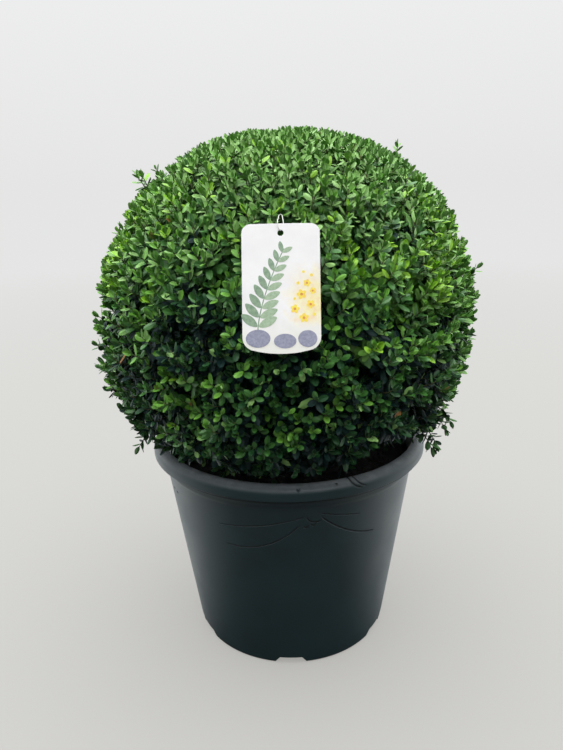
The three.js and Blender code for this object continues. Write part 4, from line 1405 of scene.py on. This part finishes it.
leaves = []
for pair in range(LEAF_PAIRS):
    inner = pair >= INNER_PAIR
    back = (FIRST_PAIR_BACK + PAIR_SPACING * pair ** PAIR_STRETCH) * MM
    t = np.clip(1 - back / shoot_length, 0.05, 1)[:, None]
    spot = (1 - t) ** 2 * starts + 2 * t * (1 - t) * controls + t ** 2 * ends
    heading = unit(2 * (1 - t) * (controls - starts) + 2 * t * (ends - controls))
    across = unit(np.cross(heading, np.where(np.abs(heading[:, 2:]) > 0.9, (1.0, 0, 0), (0, 0, 1.0))))
    other = np.cross(heading, across)
    grown = INNER_GROWTH if inner else PAIR_GROWTH[pair]
    opening_here = PAIR_OPENING[min(pair, INNER_PAIR - 1)]
    for half in (0, pi):
        uneven = random.normal(0, TURN_JITTER, len(shoot_ids))
        angle = (first_turn + half + pair * pi / 2 + uneven)[:, None]
        outward = np.cos(angle) * across + np.sin(angle) * other
        opening = opening_here * openness + random.normal(0, OPENING_JITTER, len(shoot_ids))
        opening = np.radians(np.minimum(opening, WIDEST_OPENING))[:, None]
        along = unit(np.cos(opening) * heading + np.sin(opening) * outward)
        facing = unit(heading - (heading * along).sum(axis=1, keepdims=True) * along)
        roll = random.normal(0, ROLL_JITTER, len(shoot_ids))[:, None]
        facing = unit(np.cos(roll) * facing + np.sin(roll) * np.cross(facing, along))
        length = leaf_size * grown * random.uniform(*SIZE_JITTER, len(shoot_ids))
        shape = random.integers(OLD_SHAPE, YOUNG_SHAPE, len(shoot_ids))
        if pair < CUPPED_PAIRS:
            shape[:] = YOUNG_SHAPE
        elif inner:
            shape[:] = INNER_SHAPE
        rank = np.full(len(shoot_ids), pair)
        leaves.append((spot, along, np.cross(facing, along), facing, length, shape, shoot_ids, rank))
roots, alongs, acrosses, facings, lengths, shapes, owners, ranks = map(np.concatenate, zip(*leaves))

# %% Leave out what doesn't fit
fits = np.ones(len(roots), bool)
allowed = shoot_reach[owners] + LEAF_PROUD * (1 - FLAT_TOP * up_share[owners])
allowed += STRAY_PROUD * (shoot_reach[owners] > 0)
beside, above = POT_CLEARANCE
for along_share, side_share in TEST_SPOTS:
    spot = (roots + alongs * (lengths * along_share)[:, None]
            + acrosses * (lengths * side_share * LEAF_WIDTH)[:, None])
    off_pot = (np.hypot(*spot[:, :2].T) > POT_RIM_RADIUS + beside) | (spot[:, 2] > POT_HEIGHT + above)
    fits &= inside_crown(spot, allowed) | (hanging[owners] & off_pot)
    fits &= clear_of_label(spot) & ~seen_in_hole(spot)
print(int(fits.sum()), "leaves of", len(fits), "fit")

# %% [markdown]
# ## The colours of the leaves
#
# Box is dark green with fresh, yellow-green tips. The tone belongs to a spray: neighbours come
# from one branch and are of one age. So each spray gets one number for how fresh and how lit it
# looks, from noise that drifts over the ball, from a few places where the photograph shows new
# growth or where light and shade are painted in, from painted light that lifts the top, partly as
# fresher growth, and from painted shade that darkens the foot. Its tips and its older leaves each
# take a plain colour by that number. Leaves further back on a shoot are darker, as old leaves are,
# and darker still as painted shade; so are the leaves of shoots that end deeper. The top is paler
# and more even, as painted light. A pale leaf is dealt out now and then, and hardly ever a dry,
# orange one.

# %% Deal out the tones
TONES = {
    "fresh": (0.23, 0.46, 0.022),
    "bright": (0.125, 0.315, 0.034),
    "mid": (0.048, 0.165, 0.026),
    "deep": (0.015, 0.070, 0.018),
    "dark": (0.005, 0.023, 0.019),
    "pale": (0.235, 0.425, 0.12),
    "soft": (0.125, 0.265, 0.063),
    "dry": (0.34, 0.16, 0.05),
}
# Painted light lifts the top, partly as fresher growth. Painted shade darkens the foot, the shoots that
# end deeper and the inner leaves.
LIGHTER_TOP = 0.38
DARKER_FOOT = 0.55
UNDER_SHADE = 0.30
PALE_SHARE = 0.04
DRY_SHARE = 0.001
EVEN_TOP = 0.85
EVEN_RAMP = (0.3, 0.5)
LIGHTER_RAMP = (-0.1, 0.6)
LIFTED_TOP = 0.45
FRESH_MIDDLE = 0.34
FRESH_DRIFT = 0.45
FRESH_SPACING = 3.4
SPRAY_CHANCE = 0.15
LEAF_CHANCE = 0.07
YOUNG_PAIRS = 3
# Each step: how fresh and lit a spray must be at least, and the tone that its leaves then take.
YOUNG_STEPS = ((0.28, "mid"), (0.56, "bright"), (0.92, "fresh"))
OLD_STEPS = ((0.56, "mid"), (1.0, "bright"))
OLD_DARK_BELOW = 0.34
INNER_DARK_BELOW = 0.75
# Patches of new growth, and of painted light and painted shade. Each patch: its azimuth and
# elevation, its lift in freshness and light, and its width in degrees.
FRESH_AND_LIGHT_PATCHES = (
    (-20, -8, 0.50, 11), (-2, -8, 0.40, 10), (25, -2, 0.25, 6), (-32, -20, 0.35, 13),
    (-88, 15, 0.38, 32), (85, 12, 0.40, 28), (43, 9, 0.75, 10), (-30, -17, 0.20, 8), (19, 27, 0.12, 12),
    (8, -18, 0.20, 10), (24, 22, 0.08, 12), (-22, 22, 0.12, 12), (-22, 7, -0.2, 9),
    (32, 4, -0.2, 9), (34, -10, -0.2, 8), (24, 11, -0.1, 7), (-17, 28, -0.15, 10), (17, -6, 0.15, 8),
    (-27, -13, 0.25, 7), (0, -12, 0.15, 7), (-38, 10, -0.15, 9),
    (120, 0, 0.15, 22), (-140, 10, 0.25, 22), (175, -10, 0.30, 16),
)

freshness_and_light = np.array([noise.noise(Vector(d) * FRESH_SPACING) for d in spray_dirs]) * FRESH_DRIFT
freshness_and_light += random.normal(0, SPRAY_CHANCE, SPRAY_COUNT) + FRESH_MIDDLE
# Painted light on the top, partly fresher growth, and painted shade on the foot.
freshness_and_light += LIGHTER_TOP * ramp(spray_dirs[:, 2], *LIGHTER_RAMP)
freshness_and_light += DARKER_FOOT * np.clip(spray_dirs[:, 2], -1, 0)
for azimuth, elevation, lift, width in FRESH_AND_LIGHT_PATCHES:
    freshness_and_light += lift * nearness(spray_dirs, azimuth, elevation, width)

young = ranks < YOUNG_PAIRS
fresh_and_lit_here = freshness_and_light[spray_of[owners]] + random.normal(0, LEAF_CHANCE, len(owners))
# Painted shade on the leaves of shoots that end deeper.
fresh_and_lit_here -= UNDER_SHADE * under[owners]
tone = np.full(len(owners), "deep", dtype="<U6")
for group, tone_steps in ((young, YOUNG_STEPS), (~young, OLD_STEPS)):
    for least, name in tone_steps:
        tone[group & (fresh_and_lit_here > least)] = name
# Old leaves are dark, and inner leaves darker still as painted shade.
tone[~young & (fresh_and_lit_here < OLD_DARK_BELOW)] = "dark"
tone[(ranks > YOUNG_PAIRS) & (fresh_and_lit_here < INNER_DARK_BELOW - LIFTED_TOP * up_share[owners])] = "dark"
chance = random.uniform(size=len(owners))
top_share = ramp(shoot_dirs[owners, 2], *EVEN_RAMP)
# Painted light: the top is paler and more even.
evened = random.uniform(size=len(owners)) < EVEN_TOP * top_share
tone[evened & young] = "pale"
tone[evened & ~young & (ranks < INNER_PAIR)] = "soft"
tone[evened & (ranks >= INNER_PAIR)] = "mid"
tone[chance < PALE_SHARE] = "pale"
tone[chance > 1 - DRY_SHARE] = "dry"
for name in TONES:
    print(f"{name}: {int((fits & (tone == name)).sum())} leaves")

# %% Leaf finishes
UNDERSIDE = (0.08, 0.18, 0.05, 1)
UNDERSIDE_SHARE = 0.55
LEAF_ROUGHNESS = (0.45, 0.65)
LEAF_BLOOM = 0.06
BLOOM_TINT = (0.86, 0.95, 1.0, 1)
DULL_TONES = {"dark": 0.15, "deep": 0.3, "pale": 0.3, "soft": 0.3}


def leaf_material(name, colour):
    """A glossy upper face in one plain colour, and a paler, duller underside."""
    material, tree, sockets = new_material(
        f"leaf {name}", Specular_IOR_Level=DULL_TONES.get(name, 0.5), Sheen_Weight=LEAF_BLOOM,
        Sheen_Roughness=0.5, Sheen_Tint=BLOOM_TINT)
    behind = add_node(tree, "ShaderNodeNewGeometry").outputs["Backfacing"]
    paler = blend_colours(tree, UNDERSIDE_SHARE, (*colour, 1), UNDERSIDE)
    feed(tree, sockets["Base Color"], blend_colours(tree, behind, (*colour, 1), paler))
    feed(tree, sockets["Roughness"], spread(tree, behind, 0, 1, *LEAF_ROUGHNESS))
    return material


finishes = {name: leaf_material(name, colour) for name, colour in TONES.items()}
print("leaf finishes:", ", ".join(finishes))

# %% Grow them with Geometry Nodes
leaf_tree, given, result = new_geometry_tree("leaves on points", [
    ("Shapes", "NodeSocketCollection"), ("Finish", "NodeSocketMaterial"),
])


def attribute(tree, name, kind):
    """The output of a Named Attribute node."""
    made = add_node(tree, "GeometryNodeInputNamedAttribute", {"Name": name}, data_type=kind)
    return made.outputs["Attribute"]


instances = add_node(leaf_tree, "GeometryNodeInstanceOnPoints", {
    "Points": given["Geometry"],
    "Pick Instance": True,
    "Instance": add_node(leaf_tree, "GeometryNodeCollectionInfo", {
        "Collection": given["Shapes"], "Separate Children": True, "Reset Children": True,
    }).outputs[0],
    "Instance Index": attribute(leaf_tree, "shape", "INT"),
    "Rotation": add_node(leaf_tree, "FunctionNodeEulerToRotation", {
        "Euler": attribute(leaf_tree, "turn", "FLOAT_VECTOR")}).outputs[0],
    "Scale": attribute(leaf_tree, "size", "FLOAT_VECTOR"),
})
end_tree(leaf_tree, result, instances.outputs[0], given["Finish"])


def leaf_turns(along, side, facing):
    """Euler angles of the frames whose X, Y and Z are these directions."""
    return np.stack((
        np.arctan2(side[:, 2], facing[:, 2]),
        np.arcsin(np.clip(-along[:, 2], -1, 1)),
        np.arctan2(along[:, 1], along[:, 0]),
    ), axis=1)


def leaf_points(name, chosen):
    """A mesh of bare points, one for each chosen leaf, with what the tree needs on them."""
    mesh = bpy.data.meshes.new(name)
    mesh.from_pydata(roots[chosen].tolist(), [], [])
    slim = random.uniform(*SLIM_JITTER, len(chosen))
    size = lengths[chosen][:, None] * np.stack((np.ones(len(chosen)), slim, slim), axis=1)
    turns = leaf_turns(alongs[chosen], acrosses[chosen], facings[chosen])
    for label, kind, field, values in (
        ("turn", "FLOAT_VECTOR", "vector", turns), ("size", "FLOAT_VECTOR", "vector", size),
        ("shape", "INT", "value", shapes[chosen]),
    ):
        stored = mesh.attributes.new(label, kind, "POINT")
        stored.data.foreach_set(field, np.ascontiguousarray(values).ravel().astype(
            np.int32 if kind == "INT" else np.float32))
    return mesh


TRIANGLES_A_LEAF = 16
TRIANGLES_A_PIECE = 190_000
for name, finish in finishes.items():
    chosen = np.flatnonzero(fits & (tone == name))
    pieces = ceil(len(chosen) * TRIANGLES_A_LEAF / TRIANGLES_A_PIECE)
    for number, part in enumerate(np.array_split(chosen, pieces), 1):
        label = f"leaves_{name}_{number}"
        grown_mesh = run_tree(leaf_points(label, part), leaf_tree, Shapes=leaf_shapes, Finish=finish)
        for spare in ("turn", "size", "shape"):
            if spare in grown_mesh.attributes:
                grown_mesh.attributes.remove(grown_mesh.attributes[spare])
        finish_piece(label, grown_mesh, finish, "foliage", "foliage_ball")
for shape in list(leaf_shapes.objects):
    bpy.data.objects.remove(shape)

# %% [markdown]
# ## The label
#
# The card is a thin plastic-coated sheet with rounded corners and a punched hole. The outline of a
# flat curve, with the hole as a second spline, gives a clean filled shape with a thickness. It is
# cut into a grid so that it can bow a little, as such a card does, and shade evenly.

# %% Card
CARD_BOW = 1.1 * MM
CARD_EDGE_ROUND = 0.15 * MM
CARD_SHARP_ANGLE = 15
STRIP = 5 * MM


def round_corner(x, y, radius, start, end, steps):
    """Points on an arc about x and y, the angles in turns of 90 degrees."""
    angles = np.linspace(start, end, steps) * pi / 2
    return [(x + radius * cos(a), y + radius * sin(a)) for a in angles]


def card_outline():
    """Points of the card's edge: round corners, and a foot that is a shallow arc between them."""
    x, y = LABEL_WIDTH / 2, LABEL_HEIGHT / 2
    top, foot, low = LABEL_TOP_CORNER, LABEL_FOOT_CORNER, y - LABEL_FOOT_LIFT
    span = x - foot
    bend = (span ** 2 + LABEL_FOOT_SAG ** 2) / (2 * LABEL_FOOT_SAG)
    lean = np.arcsin(span / bend) / (pi / 2)
    return [
        *round_corner(x - top, y - top, top, 0, 1, 8),
        *round_corner(-x + top, y - top, top, 1, 2, 8),
        *round_corner(-span, foot - low, foot, 2, 3 - lean, 8),
        *round_corner(0, foot + bend - low - LABEL_FOOT_SAG, foot + bend, 3 - lean, 3 + lean, 10)[1:-1],
        *round_corner(span, foot - low, foot, 3 + lean, 4, 8),
    ]


def flat_shape(name, outlines, thickness, round_edge=0.0):
    """A filled flat shape with holes where outlines lie in each other, given a thickness."""
    curve = bpy.data.curves.new(name, "CURVE")
    curve.dimensions = "2D"
    curve.fill_mode = "BOTH"
    curve.extrude = thickness / 2 - round_edge
    curve.bevel_depth = round_edge
    curve.bevel_resolution = 1
    curve.offset = -round_edge
    for outline in outlines:
        spline = curve.splines.new("POLY")
        spline.points.add(len(outline) - 1)
        for point, (x, y) in zip(spline.points, outline):
            point.co = (x, y, 0, 1)
        spline.use_cyclic_u = True
    return evaluated_mesh(add_object(name, curve))


def settle_on_card(mesh, height=0.0):
    """Cuts the shape into a grid, bows it as the card is bowed, and puts it in its place."""
    shape = bmesh.new()
    shape.from_mesh(mesh)
    bmesh.ops.remove_doubles(shape, verts=shape.verts, dist=1e-6)
    cuts = [((x, 0, 0), (1, 0, 0)) for x in np.arange(-LABEL_WIDTH / 2 + STRIP, LABEL_WIDTH / 2, STRIP)]
    cuts += [((0, y, 0), (0, 1, 0)) for y in np.arange(-LABEL_HEIGHT / 2, LABEL_HEIGHT / 2, 2 * STRIP)]
    for place, facing in cuts:
        everything = shape.verts[:] + shape.edges[:] + shape.faces[:]
        bmesh.ops.bisect_plane(shape, geom=everything, plane_co=place, plane_no=facing)
    bmesh.ops.triangulate(shape, faces=shape.faces)
    for vertex in shape.verts:
        vertex.co.z += height - CARD_BOW * (vertex.co.x / (LABEL_WIDTH / 2)) ** 2
    bmesh.ops.recalc_face_normals(shape, faces=shape.faces)
    shape.to_mesh(mesh)
    shape.free()
    mesh.transform(label_matrix)
    mesh.shade_smooth()
    mesh.set_sharp_from_angle(angle=radians(CARD_SHARP_ANGLE))
    return mesh


hole = [(CARD_HOLE_RADIUS * cos(a), LABEL_HEIGHT / 2 - HOLE_DROP + CARD_HOLE_RADIUS * sin(a))
        for a in np.linspace(0, 2 * pi, 24, endpoint=False)]
card_mesh = settle_on_card(flat_shape(
    "card", [card_outline(), hole], LABEL_THICKNESS, CARD_EDGE_ROUND))
print("card:", len(card_mesh.polygons), "faces")

# %% [markdown]
# The print is a design of this lesson's own: a branch in grey green that climbs over the card,
# small yellow and orange flowers beside it, and a row of round mauve stones at the foot. Soft
# washes behind them belong in the material. A Mapping node turns the plant's frame into the
# card's, and masks place them. What has crisp edges is cut from thin sheets.

# %% Card finish
PAPER = ((0.80, 0.765, 0.765, 1), (0.88, 0.85, 0.84, 1))
WARM_WASH = ((0.86, 0.60, 0.30, 1), (0.88, 0.80, 0.32, 1))
FOOT_WASH = (0.72, 0.70, 0.60, 1)
WARM_SHARE, FOOT_SHARE = 0.8, 0.6
WASH_WOBBLE = 8 * MM
NOISE_BAND = (0.3, 0.7)
WARM_FROM_LEFT = (2 * MM, 26 * MM)
WARM_FROM_BELOW = (-40 * MM, -20 * MM)
WARM_FROM_ABOVE = (24 * MM, -4 * MM)
FOOT_FROM_ABOVE = (-26 * MM, -50 * MM)

card_material, tree, sockets = new_material("printed card", Roughness=0.32)
place = object_place(tree)
moved = add_node(tree, "ShaderNodeVectorMath", {0: place, 1: tuple(-LABEL_CENTRE)}, operation="ADD")
on_card = add_node(tree, "ShaderNodeMapping", {
    "Vector": moved.outputs[0], "Rotation": (-radians(90 - LABEL_LEAN), 0, 0)}).outputs[0]
card_axes = add_node(tree, "ShaderNodeSeparateXYZ", {"Vector": on_card}).outputs
ripple = add_node(tree, "ShaderNodeTexNoise", {"Vector": on_card, "Scale": 90.0, "Detail": 5.0})
wobble = spread(tree, ripple.outputs[0], *NOISE_BAND, -WASH_WOBBLE, WASH_WOBBLE)
card_x = calculate(tree, "ADD", card_axes["X"], wobble)
card_y = calculate(tree, "ADD", card_axes["Y"], wobble)
warm = calculate(tree, "MULTIPLY", spread(tree, card_x, *WARM_FROM_LEFT), calculate(
    tree, "MULTIPLY", spread(tree, card_y, *WARM_FROM_BELOW), spread(tree, card_y, *WARM_FROM_ABOVE)))
ground = spread(tree, card_y, *FOOT_FROM_ABOVE)
tinted = place_group(tree, clouding, Vector=on_card, Scale=160.0, Contrast=0.3,
                     Dark=WARM_WASH[0], Light=WARM_WASH[1])
paper = place_group(tree, clouding, Vector=on_card, Scale=40.0, Contrast=0.5,
                    Dark=PAPER[0], Light=PAPER[1])
warm_share = calculate(tree, "MULTIPLY", warm, WARM_SHARE)
washed = blend_colours(tree, warm_share, paper["Color"], tinted["Color"])
feed(tree, sockets["Base Color"], blend_colours(
    tree, calculate(tree, "MULTIPLY", ground, FOOT_SHARE), washed, FOOT_WASH))
feed(tree, sockets["Normal"], grainy(tree, place, scale=700.0, strength=0.05, distance=0.05 * MM))
finish_piece("label_card_sheet", card_mesh, card_material, "label_card", "label_card")

# %% Outlines of the printed shapes, drawn in millimetres
PRINT_THICKNESS = 0.06 * MM
PRINT_HEIGHT = LABEL_THICKNESS / 2 + PRINT_THICKNESS / 2
PRINTED_PAIRS = 9
PRINTED_FOOT = (-21, -37)
PRINTED_RISE = (24, 72)
PRINTED_BEND = 1.5
PRINTED_SPAN = (0.03, 0.95)
# How far a printed leaf opens and how long it is at the foot, and how much less at the tip.
PRINTED_OPENING = (58, 22)
PRINTED_LEAF_LENGTH = (18.5, 9)
PRINTED_LEAF_SLIM = 0.44
PRINTED_LEAF_POINT = 0.35
PRINTED_LEAF_OFFSET = 0.54
PRINTED_STEM_HALF = 0.5
PRINTED_STEM_FOOT = -0.06
PETAL_TURN = 72
PETAL_OFFSET = 0.55
PETAL_WIDTH = 0.8


def oval(x, y, length, width, lean, steps, point=0.0):
    """An oval on the card, its middle at x and y, its long axis leaning from upright."""
    turn = radians(lean)
    points = []
    for angle in np.linspace(0, 2 * pi, steps, endpoint=False):
        u, v = width / 2 * cos(angle) * (1 - point * sin(angle) ** 2), length / 2 * sin(angle)
        points.append((x + u * cos(turn) + v * sin(turn), y - u * sin(turn) + v * cos(turn)))
    return points


def branch_line(share):
    """Where the printed branch runs, from its foot at 0 to its tip at 1, in millimetres."""
    across = PRINTED_FOOT[0] + PRINTED_RISE[0] * share ** PRINTED_BEND
    return across, PRINTED_FOOT[1] + PRINTED_RISE[1] * share


def off_centre(x, y, offset, lean):
    """A place in metres that lies off x and y, given in millimetres, in a leaning direction."""
    return (x + offset * sin(radians(lean))) * MM, (y + offset * cos(radians(lean))) * MM


def branch_leaves(side):
    """Pointed leaves on one side of the branch that shrink towards its tip."""
    leaves = []
    for share in np.linspace(*PRINTED_SPAN, PRINTED_PAIRS):
        x, y = branch_line(share)
        next_x, next_y = branch_line(share + 0.02)
        opening = PRINTED_OPENING[0] - PRINTED_OPENING[1] * share
        lean = np.degrees(np.arctan2(next_x - x, next_y - y)) + side * opening
        size = PRINTED_LEAF_LENGTH[0] - PRINTED_LEAF_LENGTH[1] * share
        middle = off_centre(x, y, size * PRINTED_LEAF_OFFSET, lean)
        width = size * PRINTED_LEAF_SLIM
        leaves.append(oval(*middle, size * MM, width * MM, lean, steps=16, point=PRINTED_LEAF_POINT))
    return leaves


def branch_stem():
    """The thin stem of the branch, from its foot to its tip."""
    line = [(branch_line(max(share, 0))[0], PRINTED_FOOT[1] + PRINTED_RISE[1] * share)
            for share in np.linspace(PRINTED_STEM_FOOT, 1, 14)]
    left = [((x - PRINTED_STEM_HALF) * MM, y * MM) for x, y in line]
    rightward = [((x + PRINTED_STEM_HALF) * MM, y * MM) for x, y in line]
    return [left + rightward[::-1]]


def flower_petals(spots):
    """Five round petals about each spot."""
    return [oval(*off_centre(x, y, size * PETAL_OFFSET, lean), size * MM, size * PETAL_WIDTH * MM,
                 lean, steps=10)
            for x, y, size in spots for lean in range(x * 7 % PETAL_TURN, 360, PETAL_TURN)]


def dots(spots, share):
    """A round dot in the middle of each spot."""
    return [oval(x * MM, y * MM, size * share * MM, size * share * MM, 0, steps=10)
            for x, y, size in spots]


print("printed branch: its tip at", branch_line(1), "mm on the card")

# %% Print them
# Each flower, bud and stone: its place on the card, and its size.
FLOWERS = ((18, -6, 4.4), (26, -15, 3.8), (12, -19, 4.0), (23, 4, 3.4), (20, -27, 4.2), (28, -3, 3.0))
BUDS = ((15, 4, 3), (27, 11, 3), (20, 14, 2.6), (12, -10, 2.6), (29, -24, 3))
STONES = ((-21, -45, 16, 22), (3, -47.5, 13, 20), (23, -45.5, 15, 17))
BRANCH_TONES = ((0.17, 0.26, 0.17, 1), (0.30, 0.40, 0.27, 1))
LIGHT_BRANCH_TONES = ((0.27, 0.37, 0.24, 1), (0.42, 0.52, 0.36, 1))
FLOWER_TONES = ((0.88, 0.58, 0.10, 1), (0.92, 0.78, 0.10, 1))
HEART_TONES = ((0.62, 0.24, 0.08, 1), (0.75, 0.33, 0.10, 1))
STONE_TONES = ((0.22, 0.22, 0.30, 1), (0.33, 0.33, 0.42, 1))


def print_sheet(name, outlines, tones, layer):
    """Thin printed shapes on the card, in one mottled colour, on a layer of their own."""
    merged = bmesh.new()
    for outline in outlines:
        merged.from_mesh(flat_shape(name, [outline], PRINT_THICKNESS))
    sheet = bpy.data.meshes.new(name)
    merged.to_mesh(sheet)
    merged.free()
    material, tree, sockets = new_material(f"print {name}", Roughness=0.35)
    cloud_over(tree, sockets, object_place(tree), tones, scale=420.0, contrast=0.35)
    finish_piece(name, settle_on_card(sheet, PRINT_HEIGHT + layer * PRINT_THICKNESS), material,
                 "label_card")


stones = [oval(x * MM, y * MM, tall * MM, wide * MM, 0, steps=24) for x, y, tall, wide in STONES]
print_sheet("label_branch", branch_leaves(-1) + branch_stem(), BRANCH_TONES, layer=0)
print_sheet("label_branch_light", branch_leaves(1), LIGHT_BRANCH_TONES, layer=1)
print_sheet("label_flowers", flower_petals(FLOWERS) + dots(BUDS, 1), FLOWER_TONES, layer=0)
print_sheet("label_flower_hearts", dots(FLOWERS, 0.6), HEART_TONES, layer=1)
print_sheet("label_stones", stones, STONE_TONES, layer=2)

# %% [markdown]
# The card hangs on a loop of thin pale thread that runs through the hole and over a bare twig. A
# closed curve through the same points as the solid gives its line, and a round bevel its body.

# %% Thread
THREAD_TONES = ((0.62, 0.63, 0.56, 1), (0.85, 0.86, 0.80, 1))

thread_curve = bpy.data.curves.new("thread", "CURVE")
thread_curve.dimensions = "3D"
thread_curve.bevel_depth = LOOP_RADIUS
thread_curve.bevel_resolution = 3
spline = thread_curve.splines.new("BEZIER")
spline.bezier_points.add(len(thread_points) - 1)
for point, place_on_card in zip(spline.bezier_points, thread_points):
    point.co = label_matrix @ Vector(place_on_card)
    point.handle_left_type = point.handle_right_type = "AUTO"
spline.use_cyclic_u = True
spline.resolution_u = 8
thread_mesh = evaluated_mesh(add_object("thread", thread_curve))
thread_mesh.shade_smooth()

thread_material, tree, sockets = new_material("pale thread", Roughness=0.55)
fibres = cloud_over(tree, sockets, object_place(tree), THREAD_TONES, scale=900.0, contrast=0.4)
feed(tree, sockets["Normal"], bump(tree, fibres, strength=0.3, distance=0.1 * MM))
finish_piece("label_thread_loop", thread_mesh, thread_material, "label_thread", "label_loop")
